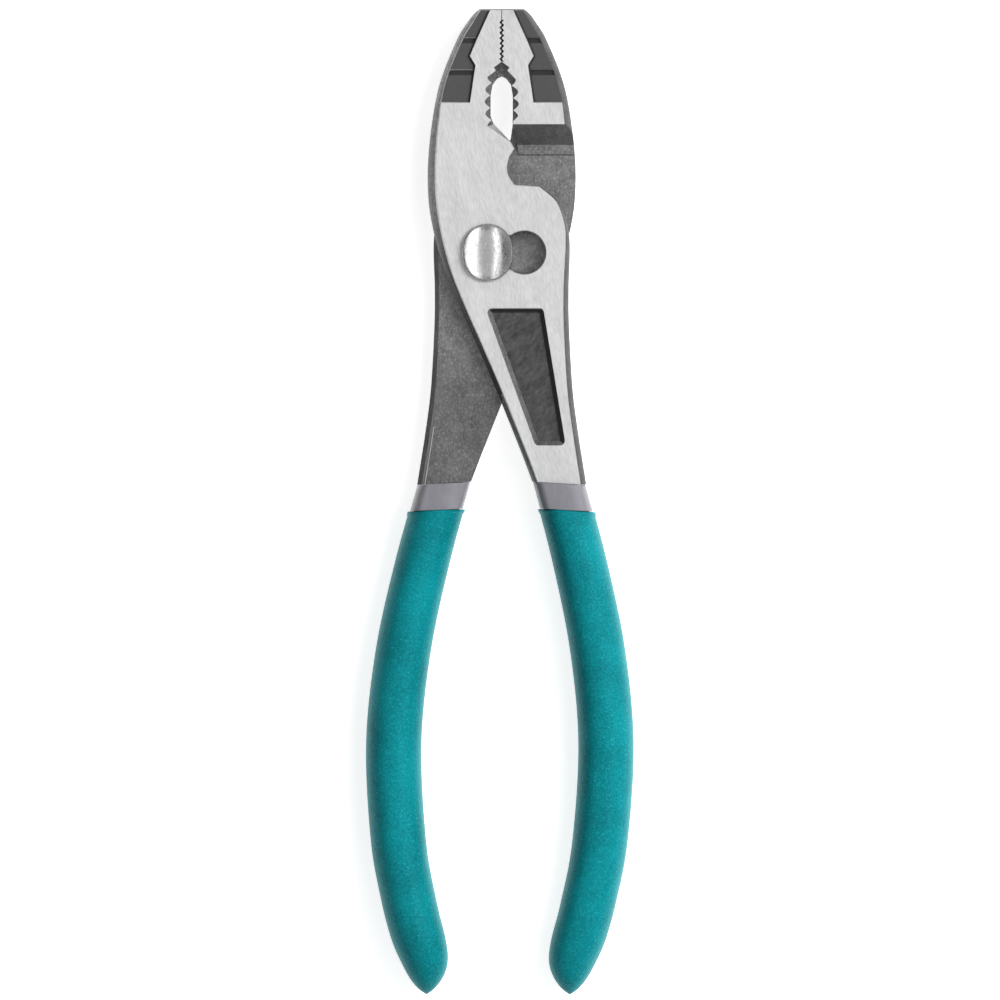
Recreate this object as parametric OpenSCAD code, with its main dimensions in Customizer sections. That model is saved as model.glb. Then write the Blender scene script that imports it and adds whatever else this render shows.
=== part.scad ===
// Slip joint pliers with dipped handles, lying flat and closed.
// +Y points to the tips of the jaws, +X to the right and +Z up, out of the front face.
// The origin lies on the pivot axis, in the plane that the nut and the grips rest on.
// The front lever is the left jaw and the right handle; the rear lever is the other two.

/* [Levers] */
// Distance from the pivot axis to the tips of the jaws
jaw_l = 49.6; // [46:0.2:54]
// Distance from the pivot axis to the upper ends of the grip liners
shank_l = 46.8; // [44:0.2:52]
// Distance from the pivot axis to the ends of the grips
handle_l = 150.6; // [135:0.2:170]
// Width over both closed jaws
head_w = 30.1; // [28:0.1:33]
// Thickness of each lapped half of the joint
plate_t = 5; // [4.4:0.1:5.6]
// Gap between the two lapped halves
lap_gap = 0.1; // [0.06:0.02:0.2]
// Distance from the pivot axis to the centre line of the pliers
pivot_off = 2.85; // [2.5:0.05:3.2]
// Width of a lever where the grip liner begins
shank_w = 11; // [10:0.1:11.4]
// Thickness that a handle gains on its inner side, past the joint
handle_gain = 3.6; // [3.2:0.1:4.2]
// Slope of that gain, in degrees
gain_slope = 28; // [20:1:40]
// Widest part of the forged band around the ground face
band_w = 1.8; // [1.2:0.1:2.2]
// Height of that band
band_h = 2.6; // [1.6:0.1:3.4]

/* [Jaws] */
// Gap between the closed jaws
jaw_gap = 0.16; // [0.1:0.02:0.3]
// Length of the smooth nose ahead of the fine teeth
nose_l = 2.4; // [1.6:0.1:3.2]
// Number of fine teeth in a jaw
fine_teeth = 8; // [6:1:9]
// Pitch of the fine teeth
fine_pitch = 1.06; // [0.9:0.02:1.1]
// Depth of the fine teeth
fine_h = 0.5; // [0.3:0.05:0.7]
// Number of notches in the pipe grip, in a jaw
pipe_notches = 5; // [4:1:5]
// Pitch of those notches
pipe_pitch = 2.5; // [2.2:0.05:2.6]
// Height of the teeth between them
pipe_h = 1.1; // [0.8:0.1:1.3]
// Width of the pipe grip, from notch to notch
pipe_w = 6.9; // [6.4:0.1:7.6]
// How far the two jaws' notches are out of step
pipe_shift = 0.5; // [0:0.1:0.8]
// Thickness of the smooth web between the notches of the two faces
web_t = 3.4; // [2.4:0.2:4.4]
// Depth of the smooth pads beside the jaws' tips
pad_d = 0.7; // [0.4:0.1:1]
// Width of the grooves across the pads
groove_w = 1; // [0.6:0.1:1.3]
// Depth of those grooves below the pads
groove_d = 0.5; // [0.3:0.1:0.7]

/* [Slip joint] */
// Distance between the two places of the bolt in its slot
slip = 7.4; // [6.6:0.1:7.8]
// Diameter of the round ends of the slot, and of the bore in the rear lever
bore_d = 8.74; // [8.2:0.02:9]
// Width of the neck between the slot's round ends
neck_w = 6.9; // [6.2:0.1:7.4]
// Radial clearance of the bolt in its bore and in the nut
fit = 0.05; // [0.03:0.01:0.08]
// Play of the bolt's head and of the nut on the levers
play = 0.1; // [0.06:0.02:0.2]
// Width of the bolt's oval head
head_d = 10.2; // [9.8:0.1:10.8]
// Length that the oval adds to the head
head_oval = 1.5; // [0.6:0.1:2]
// Height of the head at its middle
head_h = 2.5; // [2:0.1:3]
// Height of the head at its rim
head_rim = 0.9; // [0.5:0.1:1.2]
// Diameter of the bolt's threaded end
thread_d = 8; // [7.6:0.1:8.2]
// Width of the nut across its flats
nut_af = 12; // [11:0.1:12.4]
// Thickness of the nut
nut_t = 2.7; // [2.4:0.1:3.2]
// How far the nut stands out of the rear lever
nut_out = 1.6; // [1.2:0.1:2]
// Room around the nut in its recess
nut_room = 0.6; // [0.3:0.1:1]
// Bevel on the corners of the nut
nut_bevel = 0.5; // [0.2:0.1:0.7]

/* [Panel] */
// Depth of the sunk panel in a handle
panel_d = 1.3; // [0.8:0.1:1.8]
// Radius of the panel's corners at the face
panel_r = 0.85; // [0.6:0.05:1.1]
// Radius of its corners at the floor
panel_floor_r = 0.15; // [0.1:0.05:0.3]

/* [Handles] */
// Distance from the centre line to a handle's middle where the liner begins
neck_off = 11.7; // [11:0.1:13]
// How far a handle bows out past that
bow = 9.9; // [8:0.1:12]
// Width of a grip
grip_w = 11.3; // [10.6:0.1:12]
// Wall of the outer grip
grip_wall = 1; // [0.8:0.05:1.2]
// Wall of the liner under the grip
liner_wall = 0.9; // [0.7:0.05:1]
// Gap between the layers of a handle
layer_gap = 0.05; // [0.03:0.01:0.08]
// Length of the liner that shows above the grip
collar_l = 5.4; // [4:0.1:7]
// Step from the showing liner in to its covered part
collar_step = 0.8; // [0.6:0.05:0.9]
// Extra width of the rim at the grip's upper end
rim_w = 0.25; // [0.1:0.05:0.4]
// Height of that rim
rim_h = 1.2; // [0.8:0.1:2]
// Length of the tapered end of a grip
end_l = 14.2; // [11:0.1:17]
// Length over which the steel inside thickens
swell_l = 5; // [4:0.5:8]
// How far both handles lean to the left, in degrees
lean = 0.4; // [0:0.1:0.8]

/* [Hidden] */

// One overrun serves every cut.
cut = 1;
// Overlap of the solids that are one forging.
bite = 0.5;

// Levels
mid_z = nut_out + plate_t;
back_z = nut_out;
front_z = mid_z + plate_t;
thick = front_z - back_z;

// The grips rest in the same plane as the nut.
grip_t = 2 * mid_z;

// The front lever's jaw ends here, short of the centre line.
jaw_x = pivot_off - jaw_gap / 2;

// Points of a lever are shares: across, of half the head's width, from the centre line
// towards the lever's own jaw; along, of the jaw's length, or below the pivot of the
// shank's length. A third value is a share of the forged band's width.
flank_shares = [[0.29, 1, 0.2], [0.36, 0.985, 0.45], [0.45, 0.95, 0.6], [0.61, 0.87, 0.65],
    [0.84, 0.69, 0.65], [0.96, 0.49, 0.85], [1, 0.3, 1], [0.95, 0.13, 1], [0.77, -0.07, 0.7],
    [0.54, -0.25, 0.6], [0.28, -0.44, 0.6], [0.07, -0.62, 0.6], [-0.27, -0.88, 0.6]];
back_edge_shares = [[-1.05, -0.82, 0.42], [-0.96, -0.6, 0.42], [-0.91, -0.32, 0.42],
    [-0.905, -0.15, 0.42], [-0.92, 0.03, 0.35], [-0.88, 0.12, 0.25], [-0.76, 0.21, 0.2],
    [-0.54, 0.27, 0.2]];
nose_share = 0.28;
flank_end_share = 0.6;
back_end_share = 0.42;
cutter_shares = [[-0.17, 0.278], [-0.09, 0.315], [-0.07, 0.35], [-0.1, 0.392]];
front_throat_shares = [[-0.17, 0.425], [-0.11, 0.458], [0.11, 0.528]];
rear_throat_shares = [[-0.12, 0.4], [0.12, 0.465], [0.145, 0.52]];
web_shares = [[0.149, 0.56], [0.149, 0.645], [0.124, 0.69], [0.06, 0.715]];
web_top_share = 0.724;

// The jaw is as thick as the whole joint down to a sloping wall with a gentler foot.
wall_top_share = 0.525;
wall_step_share = 0.4425;
wall_foot_share = 0.4;
// The height of the wall's gentler foot, as a share of the thickness of a lapped half
wall_rise_share = 0.2;
wall_side_shares = [[0.23, 0.4], [0.165, 0.52], [-0.2, 0.6]];

// The inner edge of the pads, and the places of the grooves across them
pad_shares = [[0.157, 0.99], [0.332, 0.873], [0.428, 0.804], [0.354, 0.766], [0.362, 0.748],
    [0.428, 0.613]];
groove_shares = [0.857, 0.726];

// The four corners of the sunk panel
panel_shares = [[0.1, -0.267], [-0.527, -0.267], [-0.784, -0.82], [-0.5, -0.82]];

// The pipe grip: its notches lie on a shallow curve below a small shoulder.
pipe_curve_share = 0.17;
shoulder_shares = [[0.46, 0.46], [0.34, 0.72]];
pipe_start_share = 1.24;
pipe_foot_shares = [-0.12, 0.452];

// The handle's bow: along the handle, and as a share of the bow
bow_shares = [[0, 0], [0.16, 0.45], [0.33, 0.82], [0.51, 1], [0.7, 0.89], [0.82, 0.66],
    [0.89, 0.47], [0.945, 0.325], [1, 0.29]];
// Where the rim of a grip is widest
rim_share = 0.35;
// The tapered end of a grip: places along it, and how it draws in to the tip
end_shares = [0, 0.2, 0.4, 0.6, 0.75, 0.87, 0.95, 1];
end_power = 2.6;
tip_power = 0.72;
end_tip_share = 0.12;

// Sides of the layered handles' sections, and how square the sections are
ring_n = 24;
square_power = 0.8;
// Sections of a layer down to its rounded end
layer_n = 14;
// Steps of a curve between two of its points
curve_n = 4;
// Sides of the panel's corners, of bores and of the bolt's head and the nut's bevel
corner_fn = 24;
bore_fn = 64;
head_fn = 96;
hex_fn = 6;

function at(s) = [pivot_off - s.x * head_w / 2, s.y * (s.y > 0 ? jaw_l : shank_l)];

// A smooth curve through points of any dimension
function curve_point(a, b, c, d, t) =
    0.5 * ((2 * b) + (c - a) * t + (2 * a - 5 * b + 4 * c - d) * t * t
    + (3 * b - a - 3 * c + d) * t * t * t);
function curve(p, n) = concat(
    [for (i = [0:len(p) - 2], k = [0:n - 1])
        curve_point(p[max(i - 1, 0)], p[i], p[i + 1], p[min(i + 2, len(p) - 1)], k / n)],
    [p[len(p) - 1]]);

// The middle of a front handle, measured along Y
bow_curve = curve(bow_shares, curve_n);
function handle_x(y) = pivot_off + neck_off
    + bow * lookup((-y - shank_l) / (handle_l - shank_l), bow_curve);

// The edges of a lever that carry the forged band: the flank runs from the nose down to the
// liner, and the back edge from the liner up to the shoulder. Each point has its band share.
function place(shares) = [for (s = curve(shares, curve_n)) [at(s).x, at(s).y, s[2]]];
flank = concat([[jaw_x + cut, jaw_l, nose_share]], place(flank_shares),
    [[handle_x(-shank_l) - shank_w / 2, -shank_l, flank_end_share]]);
back_edge = concat([[handle_x(-shank_l) + shank_w / 2, -shank_l, back_end_share]],
    place(back_edge_shares));

// The widest outline of a lever, from its nose, down the flank and up from the handle
function outline(throat) = concat(
    [[jaw_x, jaw_l]],
    [for (i = [1:len(flank) - 1]) [flank[i].x, flank[i].y]],
    [for (p = back_edge) [p.x, p.y]],
    [for (s = curve(cutter_shares, curve_n)) at(s)],
    [for (s = throat) at(s)],
    [for (s = web_shares) at(s)],
    [[jaw_x, web_top_share * jaw_l]]);

// The fine teeth: every second point is a valley, and the other jaw is half a pitch on.
function fine_row(first) = [for (j = [0:2 * fine_teeth])
    [jaw_x - ((j + first) % 2) * fine_h, jaw_l - nose_l - j * fine_pitch / 2]];

// The toothed edge of the pipe grip
pipe_top = jaw_l - nose_l - fine_teeth * fine_pitch;
function pipe_bulge(i) = let (h = (pipe_notches - 1) / 2)
    pipe_w / 2 * (1 - pipe_curve_share * pow((i - h) / h, 2));
function pipe_row(shift, notches) = [for (j = [0:2 * (notches - 1)])
    [jaw_x - pipe_bulge(j / 2) + (j % 2) * pipe_h,
        pipe_top - pipe_start_share * pipe_pitch - shift - j * pipe_pitch / 2]];
function pipe_edge(shift, notches) = concat(
    [[jaw_x, pipe_top]],
    [for (s = shoulder_shares) [jaw_x - s.x * pipe_w / 2, pipe_top - s.y * pipe_pitch]],
    pipe_row(shift, notches),
    [at(pipe_foot_shares)]);

// A closed skin over a stack of rings with equal numbers of points
module skin(rings) {
    n = len(rings[0]);
    last = len(rings) - 1;
    sides = [for (j = [0:last - 1], i = [0:n - 1])
        [j * n + i, (j + 1) * n + i, (j + 1) * n + (i + 1) % n, j * n + (i + 1) % n]];
    foot = [for (i = [0:n - 1]) i];
    top = [for (i = [n - 1:-1:0]) last * n + i];
    polyhedron(points = [for (r = rings) each r], faces = concat([foot], sides, [top]),
        convexity = 10);
}

// What the forged band takes off along an edge, up to the level of the front face.
// Each section is a triangle whose long side lies on the band.
module band_cut(path) {
    last = len(path) - 1;
    skin([for (i = [-1:last + 1])
        let (j = min(max(i, 0), last),
            d = path[min(j + 1, last)] - path[max(j - 1, 0)],
            way = [d.x, d.y] / norm([d.x, d.y]),
            p = [path[j].x, path[j].y] + way * bite * (i - j),
            w = [-way.y, way.x] * path[j][2] * band_w,
            over = cut / band_h)
        [concat(p - w * over, front_z - band_h * (1 + over)),
            concat(p + w * (1 + over), front_z + band_h * over),
            concat(p - w * over, front_z + band_h * over)]]);
}

// A slice of the plain outline
module slice(throat, z, h) {
    translate([0, 0, z])
        linear_extrude(h)
            polygon(outline(throat));
}

// The space of a jaw where it is as thick as the joint, seen on the front half
module jaw_space() {
    intersection() {
        translate([-head_w, 0, 0])
            rotate([90, 0, 90])
                linear_extrude(2 * head_w)
                    polygon([[wall_top_share * jaw_l, front_z + bite],
                        [wall_top_share * jaw_l, front_z],
                        [wall_step_share * jaw_l, mid_z + wall_rise_share * plate_t],
                        [wall_foot_share * jaw_l, mid_z],
                        [wall_foot_share * jaw_l, mid_z - bite],
                        [jaw_l + cut, mid_z - bite],
                        [jaw_l + cut, front_z + bite]]);
        linear_extrude(front_z + bite)
            polygon(concat([for (s = wall_side_shares) at(s)],
                [[pivot_off + head_w / 2, jaw_l + cut], [-head_w, jaw_l + cut],
                    [-head_w, wall_foot_share * jaw_l]]));
    }
}

// The space where a handle gains thickness, seen on the front half. It slopes up from the
// line that the other lever's inner edge can reach when it is slipped.
module gain_space() {
    low = at(flank_shares[len(flank_shares) - 1]);
    high = at(flank_shares[len(flank_shares) - 4]);
    reach = 2 * pivot_off + slip + bite;
    translate([reach - low.x, low.y, mid_z])
        rotate(atan2(high.y - low.y, low.x - high.x) - 90)
            rotate([90, 0, 0])
                linear_extrude(2 * shank_l, center = true)
                    polygon([[0, -bite], [shank_l, -bite], [shank_l, shank_l * tan(gain_slope)],
                        [0, 0]]);
}

// The sunk pads beside a jaw's tip, cut down from the level of the joint's front face
module pad_cut() {
    field = concat([for (s = pad_shares) at(s)],
        [[-head_w, at(pad_shares[len(pad_shares) - 1]).y], [-head_w, jaw_l + cut],
            [at(pad_shares[0]).x, jaw_l + cut]]);
    translate([0, 0, front_z - pad_d])
        linear_extrude(pad_d + cut)
            polygon(field);
    translate([0, 0, front_z - pad_d - groove_d])
        linear_extrude(groove_d + cut)
            for (s = groove_shares)
                intersection() {
                    polygon(field);
                    translate([-head_w, s * jaw_l])
                        square([2 * head_w, groove_w]);
                }
}

// The notches of the pipe grip, cut down from the front face to the web
module pipe_cut(shift, notches) {
    right = pivot_off + pipe_w / 2;
    translate([0, 0, mid_z + web_t / 2])
        linear_extrude(plate_t + cut)
            polygon(concat(pipe_edge(shift, notches),
                [[right, at(pipe_foot_shares).y], [right, pipe_top]]));
}

// Turned over about the joint's middle plane
module flipped() {
    translate([0, 0, 2 * mid_z])
        mirror([0, 0, 1])
            children();
}

// What both faces of a jaw have
module both_faces() {
    children();
    flipped()
        children();
}

// A piece of a lever with its forged bands, cut one after the other
module banded() {
    difference() {
        difference() {
            children();
            band_cut(flank);
        }
        band_cut(back_edge);
    }
}

// The sunk panel in the ground face of a handle, with sloping walls
module panel_cut() {
    grow = (panel_r - panel_floor_r) / panel_d;
    hull()
        for (s = panel_shares)
            translate([at(s).x, at(s).y, front_z - panel_d])
                cylinder(h = panel_d + cut, r1 = panel_floor_r, r2 = panel_r + cut * grow,
                    $fn = corner_fn);
}

// A squarish oval section of a handle at a place along Y
function section(y, half_w, half_t) = [for (i = [0:ring_n - 1])
    let (a = 360 * i / ring_n)
    [handle_x(y) + half_w * sign(cos(a)) * pow(abs(cos(a)), square_power), y,
        mid_z + half_t * sign(sin(a)) * pow(abs(sin(a)), square_power)]];

// Sections of a layer at a depth inside the grip's surface, from y down to its tapered end
function layer(y, inset) =
    let (end = -handle_l + inset, start = end + end_l - inset)
    concat(
        [for (k = [0:layer_n - 1])
            section(y + (start - y) * k / layer_n, grip_w / 2 - inset, grip_t / 2 - inset)],
        [for (s = end_shares) let (f = max(pow(1 - pow(s, end_power), tip_power), end_tip_share))
            section(start + (end - start) * s, f * (grip_w / 2 - inset), f * (grip_t / 2 - inset))]);
function reversed(list) = [for (i = [len(list) - 1:-1:0]) list[i]];

// Depth of the steel, and of the liner's covered surface, inside the grip's surface
liner_in = grip_wall + layer_gap;
steel_in = liner_in + liner_wall + layer_gap;
collar_in = liner_in - collar_step;
swell_in = grip_t / 2 - (handle_gain - layer_gap);

// The steel inside a handle, thin where it leaves the shank
module tang() {
    skin(concat(
        [section(-shank_l + bite, grip_w / 2 - steel_in, grip_t / 2 - swell_in)],
        [section(-shank_l, grip_w / 2 - steel_in, grip_t / 2 - swell_in)],
        layer(-shank_l - swell_l, steel_in)));
}

// A handle's layers turned about the middle of the shank, one way or the other by side's sign
module leaned(side) {
    translate([handle_x(-shank_l), -shank_l, 0])
        rotate(side * lean)
            translate([-handle_x(-shank_l), shank_l, 0])
                children();
}

// One forging as the front lever lies, without its pivot hole
module forging(throat, shift, notches, first, side) {
    difference() {
        union() {
            banded()
                slice(throat, mid_z + lap_gap / 2, plate_t - lap_gap / 2);
            flipped()
                banded()
                    intersection() {
                        slice(throat, mid_z - bite, plate_t + bite);
                        jaw_space();
                    }
            flipped()
                banded()
                    intersection() {
                        slice(throat, mid_z - bite, handle_gain + bite);
                        gain_space();
                    }
            leaned(side)
                tang();
        }
        both_faces() {
            pad_cut();
            pipe_cut(shift, notches);
        }
        translate([0, 0, back_z - cut])
            linear_extrude(thick + 2 * cut)
                polygon(concat(fine_row(first), [[pivot_off + fine_h, pipe_top],
                    [pivot_off + fine_h, jaw_l - nose_l]]));
        panel_cut();
    }
}

// Turned half round about the centre line, from the front lever's place to the rear one's
module as_rear() {
    translate([2 * pivot_off, 0, 2 * mid_z])
        rotate([0, 180, 0])
            children();
}

module front_lever() {
    color("gainsboro")
        difference() {
            forging(front_throat_shares, 0, pipe_notches, 0, -1);
            translate([0, 0, mid_z - cut]) {
                cylinder(h = plate_t + 2 * cut, d = bore_d, $fn = bore_fn);
                translate([slip, 0, 0])
                    cylinder(h = plate_t + 2 * cut, d = bore_d, $fn = bore_fn);
                translate([0, -neck_w / 2, 0])
                    cube([slip, neck_w, plate_t + 2 * cut]);
            }
        }
}

module rear_lever() {
    color("dimgray")
        difference() {
            as_rear()
                forging(rear_throat_shares, pipe_shift, pipe_notches - 1, 1, 1);
            translate([0, 0, back_z - cut])
                cylinder(h = plate_t + 2 * cut, d = bore_d, $fn = bore_fn);
            translate([0, 0, back_z - cut])
                cylinder(h = cut + nut_t + play - nut_out, r = nut_af / sqrt(3) + nut_room, $fn = bore_fn);
        }
}

// The bolt: an oval domed head, flats that slide in the slot's neck, and a threaded end
module pivot_bolt() {
    head_r = head_d / 2;
    reach = head_r + head_oval / 2;
    drop = head_h - head_rim;
    dome_r = (reach * reach + drop * drop) / (2 * drop);
    shank_r = bore_d / 2 - fit;
    color("silver") {
        intersection() {
            translate([0, 0, front_z + play])
                union() {
                    for (side = [-1, 1])
                        translate([0, side * head_oval / 2, 0])
                            cylinder(h = head_h, r = head_r, $fn = head_fn);
                    translate([-head_r, -head_oval / 2, 0])
                        cube([head_d, head_oval, head_h]);
                }
            translate([0, 0, front_z + play + head_h - dome_r])
                sphere(r = dome_r, $fn = head_fn);
        }
        intersection() {
            translate([0, 0, mid_z])
                cylinder(h = plate_t + play + bite, r = shank_r, $fn = bore_fn);
            translate([-shank_r, -neck_w / 2 + fit, mid_z])
                cube([2 * shank_r, neck_w - 2 * fit, plate_t + play + bite]);
        }
        translate([0, 0, nut_t])
            cylinder(h = mid_z - nut_t, r = shank_r, $fn = bore_fn);
        cylinder(h = nut_t + bite, d = thread_d, $fn = bore_fn);
    }
}

// The nut, bevelled where it rests
module pivot_nut() {
    corner_r = nut_af / sqrt(3);
    color("darkgray")
        difference() {
            intersection() {
                cylinder(h = nut_t, r = corner_r, $fn = hex_fn);
                rotate_extrude($fn = head_fn)
                    polygon([[0, 0], [nut_af / 2 - nut_bevel / 2, 0], [corner_r, nut_bevel],
                        [corner_r, nut_t], [0, nut_t]]);
            }
            translate([0, 0, -cut])
                cylinder(h = nut_t + 2 * cut, r = thread_d / 2 + fit, $fn = bore_fn);
        }
}

// The grey first coat: a collar that shows, and a covered sleeve
module liner() {
    skin(concat(
        reversed(concat(
            [section(-shank_l, grip_w / 2 - steel_in + layer_gap, grip_t / 2 - swell_in + layer_gap)],
            layer(-shank_l - swell_l, steel_in - layer_gap))),
        [section(-shank_l, grip_w / 2 - collar_in, grip_t / 2 - collar_in),
            section(-shank_l - collar_l, grip_w / 2 - collar_in, grip_t / 2 - collar_in)],
        layer(-shank_l - collar_l - layer_gap, liner_in)));
}

// The coloured second coat
module grip() {
    top = -shank_l - collar_l - 2 * layer_gap;
    skin(concat(
        reversed(layer(top, liner_in - layer_gap)),
        [section(top, grip_w / 2, grip_t / 2),
            section(top - rim_share * rim_h, grip_w / 2 + rim_w, grip_t / 2)],
        layer(top - rim_h, 0)));
}

module front_grip_liner() {
    color("slategray") leaned(-1) liner();
}

module rear_grip_liner() {
    color("slategray") as_rear() leaned(1) liner();
}

module front_grip() {
    color("darkcyan") leaned(-1) grip();
}

module rear_grip() {
    color("darkcyan") as_rear() leaned(1) grip();
}

front_lever();
rear_lever();
pivot_bolt();
pivot_nut();
front_grip_liner();
rear_grip_liner();
front_grip();
rear_grip();
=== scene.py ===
"""Slip joint pliers with dipped handles, dressed around their packed frame.

Laid out as an add-on: property groups hold the sizes and the finishes, an operator makes each
piece or pair of pieces, and a panel in the 3D view's sidebar lists them. Lengths are in metres.
The pliers lie flat and closed: +Y points to the jaws' tips and +Z out of the front face.
A lever is shaped as the front one lies; the rear one is then turned over about the centre line.
"""

import math
from functools import cache

import bmesh
import bpy
import numpy as np
from bpy.props import FloatProperty, FloatVectorProperty, IntProperty, PointerProperty
from bpy.types import Operator, Panel, PropertyGroup
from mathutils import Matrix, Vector


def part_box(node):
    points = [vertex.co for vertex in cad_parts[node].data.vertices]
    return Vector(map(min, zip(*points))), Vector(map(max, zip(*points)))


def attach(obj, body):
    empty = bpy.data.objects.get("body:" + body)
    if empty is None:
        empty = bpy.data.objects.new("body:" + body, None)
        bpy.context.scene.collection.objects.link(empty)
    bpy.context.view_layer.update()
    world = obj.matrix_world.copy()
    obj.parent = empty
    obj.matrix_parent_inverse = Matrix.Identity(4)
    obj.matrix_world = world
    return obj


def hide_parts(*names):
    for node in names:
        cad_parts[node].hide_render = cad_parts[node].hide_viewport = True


bl_info = {
    "name": "Slip Joint Pliers",
    "version": (1, 0, 0),
    "blender": (4, 5, 0),
    "location": "View3D > Sidebar > Pliers",
    "description": "Makes slip joint pliers: two forgings, bolt, nut and dipped handles",
    "category": "Object",
}

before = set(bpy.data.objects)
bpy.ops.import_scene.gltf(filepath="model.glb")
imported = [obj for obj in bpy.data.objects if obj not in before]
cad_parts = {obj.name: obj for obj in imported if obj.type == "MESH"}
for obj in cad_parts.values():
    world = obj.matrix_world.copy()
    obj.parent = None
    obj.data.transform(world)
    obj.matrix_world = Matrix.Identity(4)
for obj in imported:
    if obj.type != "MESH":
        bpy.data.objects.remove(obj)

MM = 0.001

# Boxes of the frame's nodes that the sizes start from
LEVER_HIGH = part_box("front_lever")[1]
BOLT_LOW, BOLT_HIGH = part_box("pivot_bolt")
NUT_LOW, NUT_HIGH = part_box("pivot_nut")
GRIP_LOW, GRIP_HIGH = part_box("front_grip")

# Points of a lever are shares: across, of half the head's width, from the pivot's offset line
# towards the lever's own jaw; along, of the jaw's length, or below the pivot of the shank's.
# A third value is a share of the forged band's width.
FLANK_SHARES = (
    (0.29, 1, 0.2), (0.36, 0.985, 0.45), (0.45, 0.95, 0.6), (0.61, 0.87, 0.65), (0.84, 0.69, 0.65),
    (0.96, 0.49, 0.85), (1, 0.3, 1), (0.95, 0.13, 1), (0.77, -0.07, 0.7), (0.54, -0.25, 0.6),
    (0.28, -0.44, 0.6), (0.042, -0.62, 0.6), (-0.28, -0.88, 0.6),
)
BACK_EDGE_SHARES = (
    (-1.05, -0.82, 0.62), (-0.96, -0.6, 0.62), (-0.91, -0.32, 0.62), (-0.905, -0.15, 0.6),
    (-0.92, 0.03, 0.5), (-0.88, 0.12, 0.32), (-0.76, 0.21, 0.22), (-0.54, 0.27, 0.2),
)

# Shares of the forged band's width at the tip and at the ends of the two edges
NOSE_SHARE = 0.28
FLANK_END_SHARE = 0.6
BACK_END_SHARE = 0.66

# The inner side, from the cutting notch over the throat and the web to the fine teeth
CUTTER_SHARES = ((-0.17, 0.278), (-0.09, 0.315), (-0.07, 0.35), (-0.1, 0.392))
FRONT_THROAT_SHARES = ((-0.17, 0.425), (-0.11, 0.458), (0.11, 0.528))
REAR_THROAT_SHARES = ((-0.12, 0.4), (0.12, 0.465), (0.145, 0.52))
WEB_SHARES = ((0.149, 0.56), (0.149, 0.645), (0.124, 0.69), (0.06, 0.715))
WEB_TOP_SHARE = 0.724

# The jaw is as thick as the whole joint down to a sloping wall with a gentler foot.
WALL_TOP_SHARE = 0.525
WALL_STEP_SHARE = 0.4425
WALL_FOOT_SHARE = 0.4
WALL_RISE_SHARE = 0.2
WALL_SIDE_SHARES = ((0.23, 0.4), (0.165, 0.52), (-0.2, 0.6))

# The pad's inner edge from the tip down, the lower edges of its grooves, and the sunk panel
PAD_SHARES = (
    (0.157, 0.99), (0.332, 0.873), (0.428, 0.804), (0.354, 0.766), (0.362, 0.748), (0.428, 0.613),
)
GROOVE_SHARES = (0.857, 0.726)
PANEL_SHARES = ((0.125, -0.262), (-0.503, -0.262), (-0.784, -0.815), (-0.5, -0.815))

# The pipe grip: how much it narrows to its ends, its shoulders, its first notch, and its foot
PIPE_CURVE_SHARE = 0.17
SHOULDER_SHARES = ((0.46, 0.46), (0.34, 0.72))
PIPE_START_SHARE = 1.24
PIPE_FOOT_SHARES = (-0.12, 0.452)
PIPE_SLANT_SHARES = (0.11, 0.528)

# The handle's bow: along the handle, and as a share of the bow
BOW_SHARES = (
    (0, 0), (0.16, 0.45), (0.33, 0.82), (0.51, 1), (0.7, 0.89), (0.82, 0.66), (0.89, 0.47),
    (0.945, 0.325), (1, 0.29),
)

# How a handle's end tapers: the powers of its curve, and the least share of its width
END_POWER = 2.6
TIP_POWER = 0.72
TIP_SHARE = 0.05

# Sine of the least bend that counts as a corner when a loop is inset
CORNER_TURN = 0.2

# How finely curves and rounds are divided
EDGE_STEPS = 10
FLANK_COUNT = EDGE_STEPS * (len(FLANK_SHARES) - 1)
BOW_STEPS = 12
NOTCH_STEPS = 10
CORNER_STEPS = 8
BORE_SIDES = 96
SECTION_SIDES = 64
HANDLE_RINGS = 90
END_RINGS = 18
LIP_STEPS = 5
DOME_RINGS = 3 * EDGE_STEPS
THREAD_STEPS = 8
BORE_ANGLES = np.arange(BORE_SIDES) / BORE_SIDES * 2 * math.pi

# The bolt's flat end in chamfers, its thread's depth in pitches, its head's share of rounding
END_SHARE = 1.6
THREAD_DEPTH_SHARE = 0.25
RIM_DROP_SHARE = 0.8

# Least divisor of a length
TINY = 1e-6

# Rings of faces around the mouth of a liner that are painted dark as the shade of its seam
MOUTH_SHADE_RINGS = 3

# Points nearer than this are merged
MERGE_DISTANCE = 0.0005 * MM

# Sharpest bends that are still shaded smooth: on forgings and nut, on the bolt, on the coats
SMOOTH_BEND = math.radians(28)
BOLT_BEND = math.radians(38)
COAT_BEND = math.radians(50)

# Order of the finishes on a forging. The near-black recess finish, the dark wall finish and the flank
# finish paint shade onto walls, grooves, creases, gaps, bands and flanks.
GROUND, FORGED, PAD, SHADE_BLACK, PANEL, EDGE, WALL, FLANK = range(8)

# Parts of a face's normal: along an axis, nearly along it, over half way, sloping, leaning
LEVEL, SQUARE, HALF_OVER, SLOPE, LEAN = 0.999, 0.9, 0.6, 0.3, 0.1

# Grain of the forged skin
FORGED_GRAIN = {"Stretch": (1.0, 0.7, 1.0), "Grains": 2.4, "Clouds": 0.5}

# The ways along which painted shade darkens the skin, from where to where in millimetres, and how
# much
SHANK_WAY = (0.8, 1.0, 0.0)
SHANK_SHADE_SPAN = (-25.0, -34.0)
SHANK_SHADE_SHARE = 0.64
FLANK_WAY = (0.0, 1.0, 0.0)
FLANK_SHADE_SPAN = (9.0, -6.0)

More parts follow.
